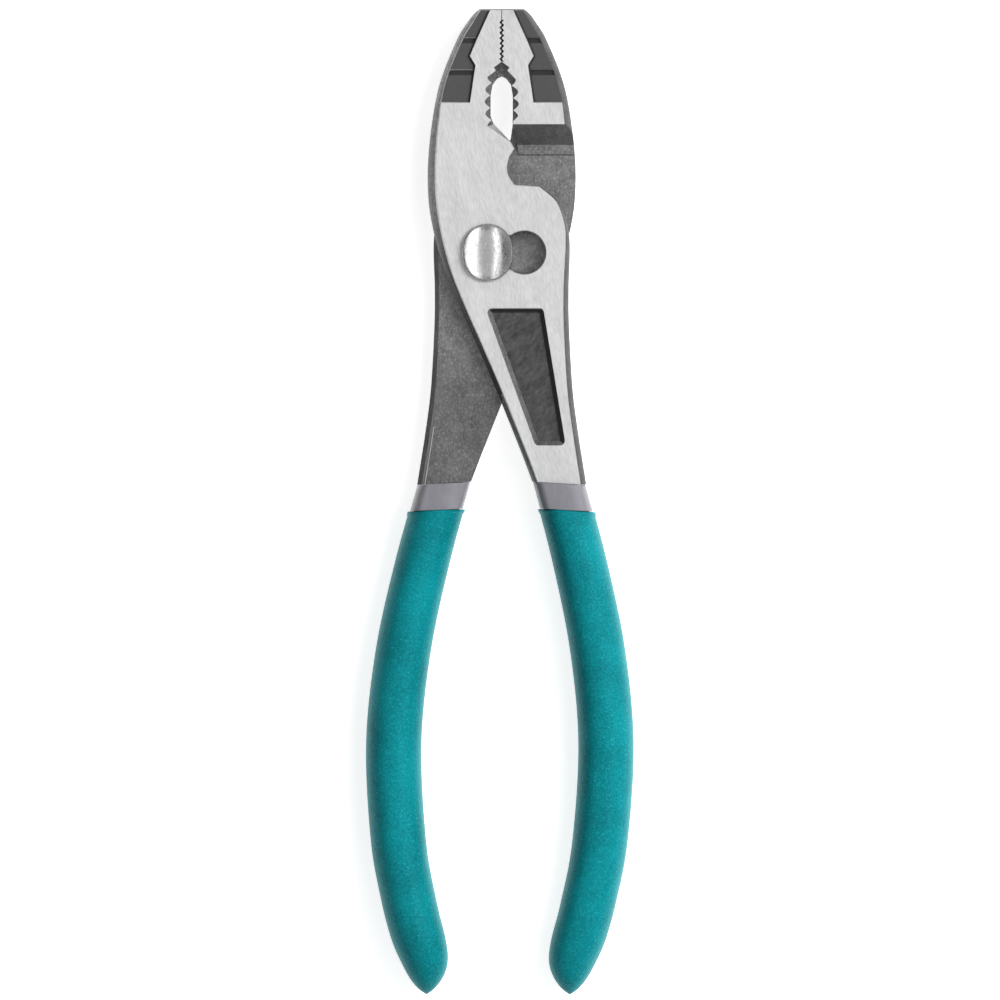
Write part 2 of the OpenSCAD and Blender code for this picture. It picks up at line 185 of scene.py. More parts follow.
# Painted light on the rear lever's face seen through the slot's free end: where it fades, in shares
# of the slot's radius, and its strength
SLOT_LIGHT_FADE = (0.86, 0.93)
SLOT_LIGHT_STRENGTH = 0.32

# The floor's thickness, its tone, and how bright the camera and reflections see it
FLOOR_THICKNESS = 20 * MM
FLOOR_TONE = 0.9
FLOOR_GLOW = 0.8

# Greys of the studio, and the parts of a direction across and up over which they change
LEFT_GREY, RIGHT_GREY, ABOVE_GREY = 0.13, 0.52, 0.1
ACROSS_RANGE = (-0.9, 0.9)
UP_RANGE = (0.4, 0.8)

# Lamps: place from the picture's middle, sides, power in watts, whether it lights and mirrors
LAMPS = (
    ("key", (0.62, 0.3, 0.78), (0.5, 0.5), 10.5, True, False),
    ("left", (-0.5, 0, 0.75), (2.4, 0.42), 5.0, False, True),
    ("top", (0, 0, 3.2), (2.4, 7.0), 17.5, False, True),
    ("right strip", (0.31, 0, 0.85), (2.4, 0.22), 2.1, True, True),
)


def length(name, description, value):
    """A length property."""
    return FloatProperty(
        name=name, description=description, default=value, unit="LENGTH", subtype="DISTANCE")


def degrees(name, description, value):
    """An angle property, from a value in degrees."""
    return FloatProperty(
        name=name, description=description, default=math.radians(value), subtype="ANGLE")


def ratio(name, description, value, low, high):
    """A property for a plain number between two limits."""
    return FloatProperty(name=name, description=description, default=value, min=low, max=high)


def whole(name, description, value, low, high):
    """A property for a whole number between two limits."""
    return IntProperty(name=name, description=description, default=value, min=low, max=high)


def colour(name, description, value):
    """A colour property."""
    return FloatVectorProperty(
        name=name, description=description, default=value, subtype="COLOR", size=3, min=0, max=1)


class LeverSizes(PropertyGroup):
    """Sizes of the two forgings."""

    jaw_length: length("Jaw length", "From the pivot to the jaws' tips", LEVER_HIGH.y)
    shank_length: length("Shank length", "From the pivot to the upper ends of the liners", 46.8 * MM)
    handle_length: length("Handle length", "From the pivot to the ends of the grips", 150.6 * MM)
    head_width: length("Head width", "Width over both closed jaws", 30.1 * MM)
    rest_gap: length("Rest gap", "Height of the back face above what the pliers lie on", 1.6 * MM)
    plate: length("Plate", "Thickness of each lapped half of the joint", 5 * MM)
    lap_gap: length("Lap gap", "Gap between the two lapped halves", 0.1 * MM)
    pivot_offset: length("Pivot offset", "From the pivot to the pliers' centre line", 2.85 * MM)
    shank_width: length("Shank width", "Width of a lever where its liner begins", 11 * MM)
    handle_gain: length("Handle gain", "Thickness that a handle gains past the joint", 3.6 * MM)
    gain_band: ratio("Gain band", "How much of the band's width this thickness has", 0.6, 0.2, 2)
    gain_slope: degrees("Gain slope", "Slope of that gain", 28)
    gain_clear: length("Gain clear", "Clearance of that gain from the slipped lever's edge", 0.5 * MM)
    band_width: length("Band width", "Widest part of the forged band around a ground face", 1.8 * MM)
    band_height: length("Band height", "Height of the rounded forged band", 2.6 * MM)
    band_bulge: ratio("Band bulge", "How round the band is; near 1 is a quarter round", 1.45, 1.05, 4)
    inner_width: length("Inner width", "Width of the bevel on a shank's inner outer edge", 0.95 * MM)
    inner_height: length("Inner height", "Height of that bevel", 0.8 * MM)
    lip: length("Lip", "Small bevel on worked edges", 0.16 * MM)
    jaw_gap: length("Jaw gap", "Gap between the closed jaws", 0.006 * MM)
    nose: length("Nose", "Smooth nose ahead of the fine teeth", 2.4 * MM)
    fine_teeth: whole("Fine teeth", "Fine teeth in a jaw", 8, 4, 9)
    fine_pitch: length("Fine pitch", "Pitch of the fine teeth", 1.06 * MM)
    fine_depth: length("Fine depth", "Depth of the fine teeth", 0.5 * MM)
    pipe_notches: whole("Pipe notches", "Notches of the pipe grip in the front jaw", 5, 4, 5)
    pipe_pitch: length("Pipe pitch", "Pitch of those notches", 2.5 * MM)
    pipe_height: length("Pipe height", "Height of the teeth between the notches", 1.1 * MM)
    pipe_width: length("Pipe width", "Width of the pipe grip from notch to notch", 6.9 * MM)
    pipe_shift: length("Pipe shift", "How far the two jaws' notches are out of step", 0.5 * MM)
    web: length("Web", "Thickness of the smooth web between the faces' notches", 3.4 * MM)
    pad_depth: length("Pad depth", "Depth of the smooth pads beside the tips", 0.7 * MM)
    pad_wall: length("Pad wall", "Slant of the pads' inner walls", 0.42 * MM)
    pad_foot: length("Pad foot", "Slant of the pads' lower walls", 0.18 * MM)
    groove_width: length("Groove width", "Width of the grooves across the pads", 1 * MM)
    groove_depth: length("Groove depth", "Depth of the grooves below the pads", 0.5 * MM)
    panel_depth: length("Panel depth", "Depth of the sunk panel", 1.3 * MM)
    panel_corner: length("Panel corner", "Radius of the panel's corners at the face", 0.85 * MM)
    panel_floor_corner: length(
        "Panel floor corner", "Radius of the panel's corners at its floor", 0.15 * MM)


class JointSizes(PropertyGroup):
    """Sizes of the slot, the bolt and the nut."""

    slip: length("Slip", "Distance between the bolt's two places in the slot", 7.4 * MM)
    bore: length("Bore", "Diameter of the slot's round ends and of the rear bore", 8.74 * MM)
    neck: length("Neck", "Width of the neck between the slot's round ends", 6.9 * MM)
    fit: length("Fit", "Radial clearance of the bolt", 0.05 * MM)
    play: length("Play", "Play under the bolt's head and over the nut", 0.1 * MM)
    head_width: length("Head width", "Width of the bolt's oval head", BOLT_HIGH.x - BOLT_LOW.x)
    head_length: length("Head length", "Length of the bolt's oval head", BOLT_HIGH.y - BOLT_LOW.y)
    head_height: length("Head height", "Height of the head at its middle", 2.5 * MM)
    head_rim: length("Head rim", "Height of the head at its rim", 0.9 * MM)
    head_round: length("Head round", "Radius that rounds the head's rim", 0.3 * MM)
    thread: length("Thread", "Diameter of the bolt's threaded end", 8 * MM)
    thread_pitch: length("Thread pitch", "Pitch of the thread", 1 * MM)
    nut_flats: length("Nut flats", "Width of the nut across its flats", NUT_HIGH.y - NUT_LOW.y)
    nut_height: length("Nut height", "Thickness of the nut", NUT_HIGH.z - NUT_LOW.z)
    nut_room: length("Nut room", "Room around the nut in its recess", 0.6 * MM)
    nut_bevel: length("Nut bevel", "Bevel on the nut's corners", 0.5 * MM)


class HandleSizes(PropertyGroup):
    """Sizes of the dipped handles."""

    neck_offset: length(
        "Neck offset", "From the centre line to a handle where its liner begins", 11.7 * MM)
    bow: length("Bow", "How far a handle bows out past that", 9.87 * MM)
    lean: degrees("Lean", "How far both handles lean to the left", 0.4)
    width: length("Width", "Width of a grip", 11.3 * MM)
    thickness: length("Thickness", "Thickness of a grip", GRIP_HIGH.z - GRIP_LOW.z)
    grip_wall: length("Grip wall", "Wall of the outer coat", 1 * MM)
    liner_wall: length("Liner wall", "Wall of the first coat", 0.9 * MM)
    layer_gap: length("Layer gap", "Gap between a handle's layers", 0.05 * MM)
    collar: length("Collar", "Length of the first coat that shows", 5.4 * MM)
    collar_step: length("Collar step", "Step from the showing coat in to its covered part", 0.8 * MM)
    rim_width: length("Rim width", "Extra width of the rim at a grip's upper end", 0.25 * MM)
    rim_height: length("Rim height", "Height of that rim", 1.2 * MM)
    lip: length("Lip", "Radius that rounds a coat's upper edge", 0.35 * MM)
    end: length("End", "Length of a grip's tapered end", 14.2 * MM)
    swell: length("Swell", "Length over which the steel inside thickens", 5 * MM)
    grip_square: ratio(
        "Grip squareness", "Power of a grip's section; lower is squarer", 0.95, 0.3, 1)
    edge_tilt: ratio(
        "Edge tilt", "Slope of the coats' upper edges, down to the outer side", 0.057, 0, 0.2)
    edge_reach: length(
        "Edge reach", "Length below the shank over which that slope dies out", 30 * MM)
    collar_square: ratio(
        "Collar squareness", "Power of a collar's section; lower is squarer", 0.56, 0.3, 1)


class Finishes(PropertyGroup):
    """Colours of the finishes, in linear light."""

    ground: colour("Ground steel", "Bright ground faces", (0.82, 0.82, 0.825))
    forged: colour("Forged steel", "Dark forged skin", (0.25, 0.25, 0.252))
    forged_glint: colour("Forged glint", "Bright grains in the skin", (0.42, 0.42, 0.42))
    edge: colour("Worn edge", "Bright worn edges", (0.75, 0.75, 0.755))
    # Painted shade: this dark grey stands in for the shade on the wall under a jaw's step, on bands
    # and on lapped faces
    wall: colour("Shaded wall", "Dark wall under a jaw's step", (0.118, 0.118, 0.119))
    pad: colour("Jaw pad", "Smooth blackened pads", (0.084, 0.084, 0.085))
    # Painted shade: this near-black stands in for the shade in grooves, on walls, in creases and in
    # the gap between the jaws
    recess: colour("Recess", "Blackened walls and grooves", (0.018, 0.018, 0.018))
    chrome: colour("Chrome", "The bolt", (0.9, 0.9, 0.905))
    zinc: colour("Zinc", "The nut", (0.62, 0.63, 0.65))
    liner: colour("Liner", "The first coat", (0.205, 0.202, 0.227))
    grip: colour("Grip", "The second coat", (0.001, 0.35, 0.4))
    # Pale flecks, and a painted sheen where the coat turns away
    grip_fleck_and_sheen: colour("Grip fleck and sheen", "The coat where it turns away", (0.03, 0.41, 0.44))
    grip_dark: colour("Grip grain", "The darker grain in it", (0.0, 0.135, 0.155))


class StageSettings(PropertyGroup):
    """Floor, lights and camera."""

    view_width: length("View width", "Width that the picture covers", 203.25 * MM)
    view_centre: FloatVectorProperty(
        name="View centre", description="Place at the middle of the picture",
        default=(2.5 * MM, -50.2 * MM, 6.6 * MM), size=3, unit="LENGTH", subtype="XYZ")
    view_distance: length("View distance", "From the camera to the pliers", 2.5)
    floor_size: length("Floor size", "Side of the floor", 6)


def settings_of(*titles):
    """The property groups of the scene with these titles."""
    return [getattr(bpy.context.scene, f"pliers_{title}") for title in titles]


def curve(points, steps):
    """A smooth curve through points of any dimension, with steps from each to the next."""
    points = np.asarray(points, float)
    last = len(points) - 1
    found = []
    for i in range(last):
        before, here = points[max(i - 1, 0)], points[i]
        there, after = points[i + 1], points[min(i + 2, last)]
        for k in range(steps):
            t = k / steps
            found.append(0.5 * (
                2 * here + (there - before) * t
                + (2 * before - 5 * here + 4 * there - after) * t ** 2
                + (3 * here - before - 3 * there + after) * t ** 3))
    found.append(points[last])
    return np.array(found)


def inset(points, amounts):
    """A loop that runs anticlockwise, with each edge moved inwards by its amount."""
    points = np.asarray(points, float)
    amounts = np.broadcast_to(np.asarray(amounts, float), len(points))
    step = np.roll(points, -1, 0) - points
    way = step / np.linalg.norm(step, axis=1)[:, None]
    inward = np.stack([-way[:, 1], way[:, 0]], 1)
    moved = []
    for i, point in enumerate(points):
        first, second = inward[i - 1], inward[i]
        far, near = amounts[i - 1], amounts[i]
        turn = first[0] * second[1] - first[1] * second[0]
        if abs(turn) > CORNER_TURN:
            shift = np.array([far * second[1] - near * first[1],
                              near * first[0] - far * second[0]]) / turn
        else:
            shift = (first + second) * (far + near) / 2 / (1 + first @ second)
        moved.append(point + shift)
    return np.array(moved)


def ring(points, z):
    """A flat loop at a height."""
    return np.column_stack([points, np.full(len(points), z)])


def loft(name, rings, closed=False):
    """A closed mesh through rings of equal length: its ends are capped, or joined if closed."""
    rings = np.asarray(rings, float)
    count, sides = rings.shape[:2]
    faces = []
    for j in range(count if closed else count - 1):
        low, high = j * sides, (j + 1) % count * sides
        for i in range(sides):
            k = (i + 1) % sides
            faces.append((low + i, low + k, high + k, high + i))
    if not closed:
        faces.append(tuple(range(sides - 1, -1, -1)))
        faces.append(tuple(range((count - 1) * sides, count * sides)))
    mesh = bpy.data.meshes.new(name)
    mesh.from_pydata(rings.reshape(-1, 3).tolist(), [], faces)
    made = bmesh.new()
    made.from_mesh(mesh)
    bmesh.ops.recalc_face_normals(made, faces=made.faces)
    made.to_mesh(mesh)
    made.free()
    piece = bpy.data.objects.new(name, mesh)
    bpy.context.scene.collection.objects.link(piece)
    return piece


def prism(points, low, high):
    """A plain upright prism over an outline, for cutting with."""
    return loft("cutter", [ring(points, low), ring(points, high)])


def combine(piece, tool, operation):
    """Joins a tool to a piece, cuts it away or keeps what both hold. The tool is used up."""
    modifier = piece.modifiers.new("combine", "BOOLEAN")
    modifier.operation = operation
    modifier.solver = "MANIFOLD"
    modifier.object = tool
    bpy.context.view_layer.update()
    old = piece.data
    new = bpy.data.meshes.new_from_object(
        piece.evaluated_get(bpy.context.evaluated_depsgraph_get()))
    piece.modifiers.clear()
    piece.data = new
    bpy.data.meshes.remove(old)
    spent = tool.data
    bpy.data.objects.remove(tool)
    bpy.data.meshes.remove(spent)
    if not new.polygons:
        raise RuntimeError(f"{operation} left nothing of {piece.name}")
    return piece


def turned(points, sizes):
    """Places turned half round about the pliers' centre line, from the front lever's side."""
    points = np.array(points, float)
    points[..., 0] = 2 * sizes.pivot_offset - points[..., 0]
    points[..., 2] = 2 * middle(sizes) - points[..., 2]
    return points


def middle(sizes):
    """Height of the plane where the two levers meet."""
    return sizes.rest_gap + sizes.plate


def front(sizes):
    """Height of the front face."""
    return middle(sizes) + sizes.plate


def at(sizes, share):
    """The place of a share point on the front lever."""
    along = sizes.jaw_length if share[1] > 0 else sizes.shank_length
    return np.array([sizes.pivot_offset - share[0] * sizes.head_width / 2, share[1] * along])


def places(sizes, shares):
    """The places of a row of share points."""
    return np.array([at(sizes, share) for share in shares])


def handle_x(y):
    """The middle of the front handle at a place along Y, before it leans."""
    levers, handles = settings_of("levers", "handles")
    bow = curve(BOW_SHARES, BOW_STEPS)
    along = (-y - levers.shank_length) / (levers.handle_length - levers.shank_length)
    return (levers.pivot_offset + handles.neck_offset
            + handles.bow * np.interp(along, bow[:, 0], bow[:, 1]))


def contact_x(sizes):
    """Where the front lever's jaw ends, short of the centre line."""
    return sizes.pivot_offset - sizes.jaw_gap / 2


def lever_outline(sizes, throat):
    """The points around a lever; each edge's band, lip, drop below the face and inner bevel."""
    neck = handle_x(-sizes.shank_length)
    half = sizes.shank_width / 2
    fall = bpy.context.scene.pliers_handles.edge_tilt * half
    flank = [(contact_x(sizes), sizes.jaw_length, NOSE_SHARE)]
    flank += [(*at(sizes, row), row[2]) for row in curve(FLANK_SHARES, EDGE_STEPS)]
    flank.append((neck - half, -sizes.shank_length + fall, FLANK_END_SHARE))
    back = [(neck + half, -sizes.shank_length - fall, BACK_END_SHARE)]
    back += [(*at(sizes, row), row[2]) for row in curve(BACK_EDGE_SHARES, EDGE_STEPS)]
    worked = places(sizes, [*curve(CUTTER_SHARES, EDGE_STEPS), *throat, *WEB_SHARES])
    web_top = (contact_x(sizes), WEB_TOP_SHARE * sizes.jaw_length)
    points = np.array([row[:2] for row in flank + back] + [*worked, web_top])
    bands, lips, drops, bevels = np.zeros((4, len(points)))
    for first, rows in ((0, flank), (len(flank), back)):
        for i in range(len(rows) - 1):
            bands[first + i] = (rows[i][2] + rows[i + 1][2]) / 2 * sizes.band_width
    lips[len(flank) + len(back) - 1:-2] = sizes.lip
    lips[-1] = sizes.lip / 2
    pad_low = PAD_SHARES[-1][1] * sizes.jaw_length
    drops[:len(flank)] = np.where(points[:len(flank), 1] > pad_low, sizes.pad_depth, 0)
    bevels[len(flank):len(flank) + len(back) - 1] = sizes.inner_width
    return points, bands, lips, drops, bevels


def slab(sizes, outline, low, high):
    """A slice of a lever's outline; its band is rounded, and ends at the top of the slice.

    The plate's inner edge is bevelled, and the block on it stands in by the bevel's width.
    """
    points, bands, lips, drops, bevels = outline
    last_turn = math.acos(1 - 1 / sizes.band_bulge)
    turns = np.sin(np.linspace(0, 1, EDGE_STEPS) * last_turn) / math.sin(last_turn)
    rises = high - (1 - turns) * sizes.band_height
    foot = middle(sizes) + sizes.inner_height
    heights = np.concatenate([[low, foot], rises, rises - sizes.pad_depth, [high - sizes.lip]])
    rings = []
    for z in sorted(set(heights[(heights >= low) & (heights < high)])) + [high]:
        rise = np.clip(1 - (high - drops - z) / sizes.band_height, 0, 1)
        turn = np.arcsin(rise * math.sin(last_turn))
        amounts = bands * sizes.band_bulge * (1 - np.cos(turn))
        amounts += np.minimum(lips, max(z - high + sizes.lip, 0))
        fading = max(foot - z, 0) / sizes.inner_height if low > middle(sizes) else 1
        amounts += bevels * fading
        rings.append(ring(inset(points, amounts), z))
    return rings


def both_faces(sizes, piece, tool):
    """Cuts a tool away from a piece's face, and its mirror image away from the other face."""
    other = tool.copy()
    other.data = tool.data.copy()
    bpy.context.scene.collection.objects.link(other)
    combine(piece, tool, "DIFFERENCE")
    combine(piece, flip_piece(other, sizes), "DIFFERENCE")


def flip_piece(piece, sizes):
    """A piece mirrored in the plane where the levers meet."""
    for vertex in piece.data.vertices:
        vertex.co.z = 2 * middle(sizes) - vertex.co.z
    piece.data.flip_normals()
    return piece


def beam(profile, half_length, turn=0, place=(0, 0)):
    """A beam of a profile in Y and Z, across X, turned about Z and moved."""
    rings = []
    for x in (-half_length, half_length):
        rows = np.array([(x, y, z) for y, z in profile])
        across = rows[:, 0] * math.cos(turn) - rows[:, 1] * math.sin(turn) + place[0]
        along = rows[:, 0] * math.sin(turn) + rows[:, 1] * math.cos(turn) + place[1]
        rings.append(np.column_stack([across, along, rows[:, 2]]))
    return loft("cutter", rings)


def jaw_block(sizes, outline):
    """The half of a jaw that lies over the other lever's plate, down to the sloping wall."""
    cut = sizes.head_width
    mid, top = middle(sizes), front(sizes)
    block = loft("block", slab(sizes, outline, mid - sizes.lip, top))
    foot = WALL_FOOT_SHARE * sizes.jaw_length
    wall = [(foot, mid - cut), (sizes.jaw_length + cut, mid - cut),
            (sizes.jaw_length + cut, top + cut),
            (WALL_TOP_SHARE * sizes.jaw_length, top + cut),
            (WALL_TOP_SHARE * sizes.jaw_length, top),
            (WALL_STEP_SHARE * sizes.jaw_length, mid + WALL_RISE_SHARE * sizes.plate),
            (foot + sizes.lip, mid + sizes.lip), (foot, mid)]
    combine(block, beam(wall, 3 * cut), "INTERSECT")
    side = [*places(sizes, WALL_SIDE_SHARES)]
    side += [(cut, side[-1][1]), (cut, sizes.jaw_length + cut),
             (-cut, sizes.jaw_length + cut), (-cut, foot)]
    combine(block, prism(np.array(side), mid - cut, top + cut), "INTERSECT")
    return flip_piece(block, sizes)


def gain_block(sizes, outline):
    """The thickness that a handle gains on its inner side, past the other lever's reach."""
    slip = bpy.context.scene.pliers_joint.slip
    mid = middle(sizes)
    points, bands, *others = outline
    narrower = (points, bands * sizes.gain_band, *others)
    block = loft("block", slab(sizes, narrower, mid - sizes.inner_height, mid + sizes.handle_gain))
    low, high = at(sizes, FLANK_SHARES[-1]), at(sizes, FLANK_SHARES[-4])
    place = (2 * sizes.pivot_offset + slip + sizes.gain_clear - low[0], low[1])
    far = 2 * sizes.shank_length
    profile = [(0, mid), (0, mid - far), (far, mid - far),
               (far, mid + far * math.tan(sizes.gain_slope))]
    turn = math.atan2(high[1] - low[1], low[0] - high[0]) - math.pi
    combine(block, beam(profile, far, turn, place), "INTERSECT")
    return flip_piece(block, sizes)


def pad_cutters(sizes, outline):
    """The sunk pad beside a jaw's tip, and the grooves across it, cut from the front."""
    outer = inset(outline[0], outline[1])[:FLANK_COUNT]
    top = front(sizes)
    far = sizes.head_width
    edge = places(sizes, PAD_SHARES)[::-1]
    field = np.concatenate([edge, [(edge[-1][0], sizes.jaw_length + far),
                                   (-far, sizes.jaw_length + far), (-far, edge[0][1])]])
    slant = np.zeros(len(field))
    slant[:len(edge)] = sizes.pad_wall
    slant[-1] = sizes.pad_foot
    floor = top - sizes.pad_depth
    tools = [loft("cutter", [ring(inset(field, slant), floor), ring(field, top),
                             ring(field, top + far)])]
    for share in GROOVE_SHARES:
        low = share * sizes.jaw_length
        high = low + sizes.groove_width
        rings = []
        for z, lip in ((floor - sizes.groove_depth, 0), (floor - sizes.lip, 0),
                       (floor, sizes.lip), (floor + sizes.pad_depth / 3, sizes.lip)):
            ends = [(np.interp(y, outer[::-1, 1], outer[::-1, 0]),
                     np.interp(y, edge[:, 1], edge[:, 0]) - sizes.pad_wall)
                    for y in (low, high + lip)]
            rings.append(ring(np.array([(ends[0][0], low), (ends[0][1], low),
                                        (ends[1][1], high + lip), (ends[1][0], high + lip)]), z))
        tools.append(loft("cutter", rings))
    return tools


def area(points):
    """The signed area of a loop; it is above zero if the loop runs anticlockwise."""
    ahead = np.roll(points, -1, 0)
    return np.sum(points[:, 0] * ahead[:, 1] - points[:, 1] * ahead[:, 0]) / 2


def pipe_cutter(sizes, shift, notches):
    """The scalloped notches of the pipe grip, cut from the front down to the web."""
    contact = contact_x(sizes)
    top_y = sizes.jaw_length - sizes.nose - sizes.fine_teeth * sizes.fine_pitch
    half = (sizes.pipe_notches - 1) / 2
    points = [(contact, top_y)]
    for across, along in SHOULDER_SHARES:
        points.append((contact - across * sizes.pipe_width / 2, top_y - along * sizes.pipe_pitch))
    for j in range((notches - 1) * NOTCH_STEPS + 1):
        i = j / NOTCH_STEPS
        bulge = sizes.pipe_width / 2 * (1 - PIPE_CURVE_SHARE * ((i - half) / half) ** 2)
        scallop = sizes.pipe_height * (1 - abs(math.cos(math.pi * i)))
        y = top_y - (PIPE_START_SHARE + i) * sizes.pipe_pitch - shift
        points.append((contact - bulge + scallop, y))
    foot = at(sizes, PIPE_FOOT_SHARES)
    right = sizes.pivot_offset + sizes.pipe_width / 2
    lower = np.array(points + [tuple(foot), (right, foot[1]), (right, top_y)])
    upper = lower.copy()
    lower[len(points) - 1] = at(sizes, PIPE_SLANT_SHARES)
    heights = (middle(sizes) + sizes.web / 2, front(sizes), front(sizes) + sizes.plate)
    order = 1 if area(upper) > 0 else -1
    return loft("pipe grip", [ring(loop[::order], z)
                              for loop, z in zip((lower, upper, upper), heights)])


def teeth_cutter(sizes, first):
    """The fine teeth: every second point is a valley, and the other jaw is half a pitch on."""
    contact = contact_x(sizes)
    points = []
    for j in range(2 * sizes.fine_teeth + 1):
        depth = (j + first) % 2 * sizes.fine_depth
        y = sizes.jaw_length - sizes.nose - j * sizes.fine_pitch / 2
        points.append((contact - depth, y))
    right = sizes.pivot_offset + sizes.fine_depth
    points += [(right, points[-1][1]), (right, points[0][1])]
    loop = np.array(points)
    loop = loop if area(loop) > 0 else loop[::-1]
    return prism(loop, middle(sizes) + sizes.web / 2, front(sizes) + sizes.plate)


def rounded(corners, radius):
    """A loop around corners that run anticlockwise, with an arc of a radius at each."""
    corners = np.asarray(corners, float)
    found = []
    for i, corner in enumerate(corners):
        before, after = corner - corners[i - 1], corners[(i + 1) % len(corners)] - corner
        start = math.atan2(before[1], before[0]) - math.pi / 2
        swing = (math.atan2(after[1], after[0]) - math.pi / 2 - start) % (2 * math.pi)
        for k in range(CORNER_STEPS + 1):
            angle = start + swing * k / CORNER_STEPS
            found.append(corner + radius * np.array([math.cos(angle), math.sin(angle)]))
    return np.array(found)


def panel_cutter(sizes):
    """The sunk panel in the ground face of a shank, with sloping walls and a filleted floor."""
    corners = places(sizes, PANEL_SHARES)
    corners = corners if area(corners) > 0 else corners[::-1]
    top = front(sizes)
    floor = top - sizes.panel_depth
    fillet = sizes.panel_floor_corner
    slope = (sizes.panel_corner - fillet) / sizes.panel_depth
    steps = [(floor, fillet / 2), (floor + fillet / 3, fillet),
             (floor + fillet, fillet + slope * fillet), (top - sizes.lip, sizes.panel_corner),
             (top, sizes.panel_corner + sizes.lip),
             (top + sizes.plate, sizes.panel_corner + sizes.lip)]
    return loft("cutter", [ring(rounded(corners, radius), z) for z, radius in steps])


def slot_loop(joint):
    """The slot seen from the front: two round ends joined by a narrower neck."""
    radius = joint.bore / 2
    corner = math.asin(joint.neck / 2 / radius)
    angles = np.linspace(corner, 2 * math.pi - corner, BORE_SIDES)
    left = np.column_stack([np.cos(angles), np.sin(angles)]) * radius
    return np.concatenate([left, (joint.slip, 0) - left])


def round_loop(radii):
    """A loop about the pivot, with one radius or with a radius at each angle."""
    radii = np.broadcast_to(radii, BORE_SIDES)
    return np.column_stack([np.cos(BORE_ANGLES) * radii, np.sin(BORE_ANGLES) * radii])


def around(radii, z):
    """Such a loop at a height."""
    return ring(round_loop(radii), z)


def hole_cutter(loop, low, high, lip, far):
    """A hole from low to high whose mouth at high has a small bevel."""
    steps = [(low, 0), (high - lip, 0), (high, lip), (high + far, lip)]
    return loft("cutter", [ring(inset(loop, -grow), z) for z, grow in steps])


def section(y, half_width, half_thickness, square):
    """A squarish oval section of the front handle at a place along Y, tilted near its top."""
    angles = np.arange(SECTION_SIDES) / SECTION_SIDES * 2 * math.pi
    across = half_width * np.sign(np.cos(angles)) * np.abs(np.cos(angles)) ** square
    up = half_thickness * np.sign(np.sin(angles)) * np.abs(np.sin(angles)) ** square
    levers, handles = settings_of("levers", "handles")
    below = (-y - levers.shank_length) / handles.edge_reach
    tilt = handles.edge_tilt * min(max(1 - below, 0), 1)
    return np.column_stack([handle_x(y) + across, y - tilt * across, middle(levers) + up])


def layer(handles, y, depth):
    """Sections of a coat or of the steel, at a depth in the grip, from y down to its end."""
    square = handles.grip_square
    half_width, half_thickness = handles.width / 2 - depth, handles.thickness / 2 - depth
    end = depth - bpy.context.scene.pliers_levers.handle_length
    start = end + handles.end - depth
    rings = [section(y + (start - y) * k / HANDLE_RINGS, half_width, half_thickness, square)
             for k in range(HANDLE_RINGS)]
    for k in range(END_RINGS + 1):
        s = math.sin(math.pi / 2 * k / END_RINGS)
        draw = max((1 - s ** END_POWER) ** TIP_POWER, TIP_SHARE)
        place = start + (end - start) * s
        rings.append(section(place, half_width * draw, half_thickness * draw, square))
    return rings


def leaned(rings, side):
    """Rings turned about the middle of the shank, one way or the other by side's sign."""
    handles = bpy.context.scene.pliers_handles
    shank = -bpy.context.scene.pliers_levers.shank_length
    rings = np.array(rings, float)
    x, y = rings[..., 0] - handle_x(shank), rings[..., 1] - shank
    turn = side * handles.lean
    rings[..., 0] = handle_x(shank) + x * math.cos(turn) - y * math.sin(turn)
    rings[..., 1] = shank + x * math.sin(turn) + y * math.cos(turn)
    return rings


def layer_depths(handles):
    """Depths in the grip of its inner face, of the steel, and of the showing collar."""
    liner = handles.grip_wall + handles.layer_gap
    steel = liner + handles.liner_wall + handles.layer_gap
    return liner, steel, liner - handles.collar_step


def shank_thickness(levers, handles):
    """Half of the thickness of the steel where it enters the liner."""
    return levers.handle_gain - handles.layer_gap


def tang(sizes, side):
    """The steel inside a handle, thin where it leaves the shank."""
    handles = bpy.context.scene.pliers_handles
    steel = layer_depths(handles)[1]
    half = handles.width / 2 - steel
    thin = shank_thickness(sizes, handles)
    rings = [section(-sizes.shank_length + sizes.lip, half, thin, handles.grip_square),
             section(-sizes.shank_length, half, thin, handles.grip_square)]
    rings += layer(handles, -sizes.shank_length - handles.swell, steel)
    return loft("tang", leaned(rings, side))


def forging(name, throat, shift, notches, first, side):
    """One forging as the front lever lies, without its pivot hole.

    The shift and the number of notches are its pipe grip's, first says whether the fine teeth
    begin with a valley, and side which way the handle leans.
    """
    sizes = bpy.context.scene.pliers_levers
    outline = lever_outline(sizes, throat)
    low = middle(sizes) + sizes.lap_gap / 2
    piece = loft(name, slab(sizes, outline, low, front(sizes)))
    for part in (jaw_block(sizes, outline), gain_block(sizes, outline), tang(sizes, side)):
        combine(piece, part, "UNION")
    for tool in pad_cutters(sizes, outline):
        both_faces(sizes, piece, tool)
    both_faces(sizes, piece, pipe_cutter(sizes, shift, notches))
    both_faces(sizes, piece, teeth_cutter(sizes, first))
    combine(piece, panel_cutter(sizes), "DIFFERENCE")
    return piece


def turn_over(piece, sizes):
    """Turns a piece half round about the pliers' centre line."""
    for vertex in piece.data.vertices:
        vertex.co = turned(vertex.co, sizes)


def tidy_mesh(piece):
    """Merges doubled points, and drops faces and edges without size."""
    made = bmesh.new()
    made.from_mesh(piece.data)
    bmesh.ops.remove_doubles(made, verts=made.verts, dist=MERGE_DISTANCE)
    bmesh.ops.dissolve_degenerate(made, edges=made.edges, dist=MERGE_DISTANCE)
    bmesh.ops.recalc_face_normals(made, faces=made.faces)
    made.to_mesh(piece.data)
    made.free()


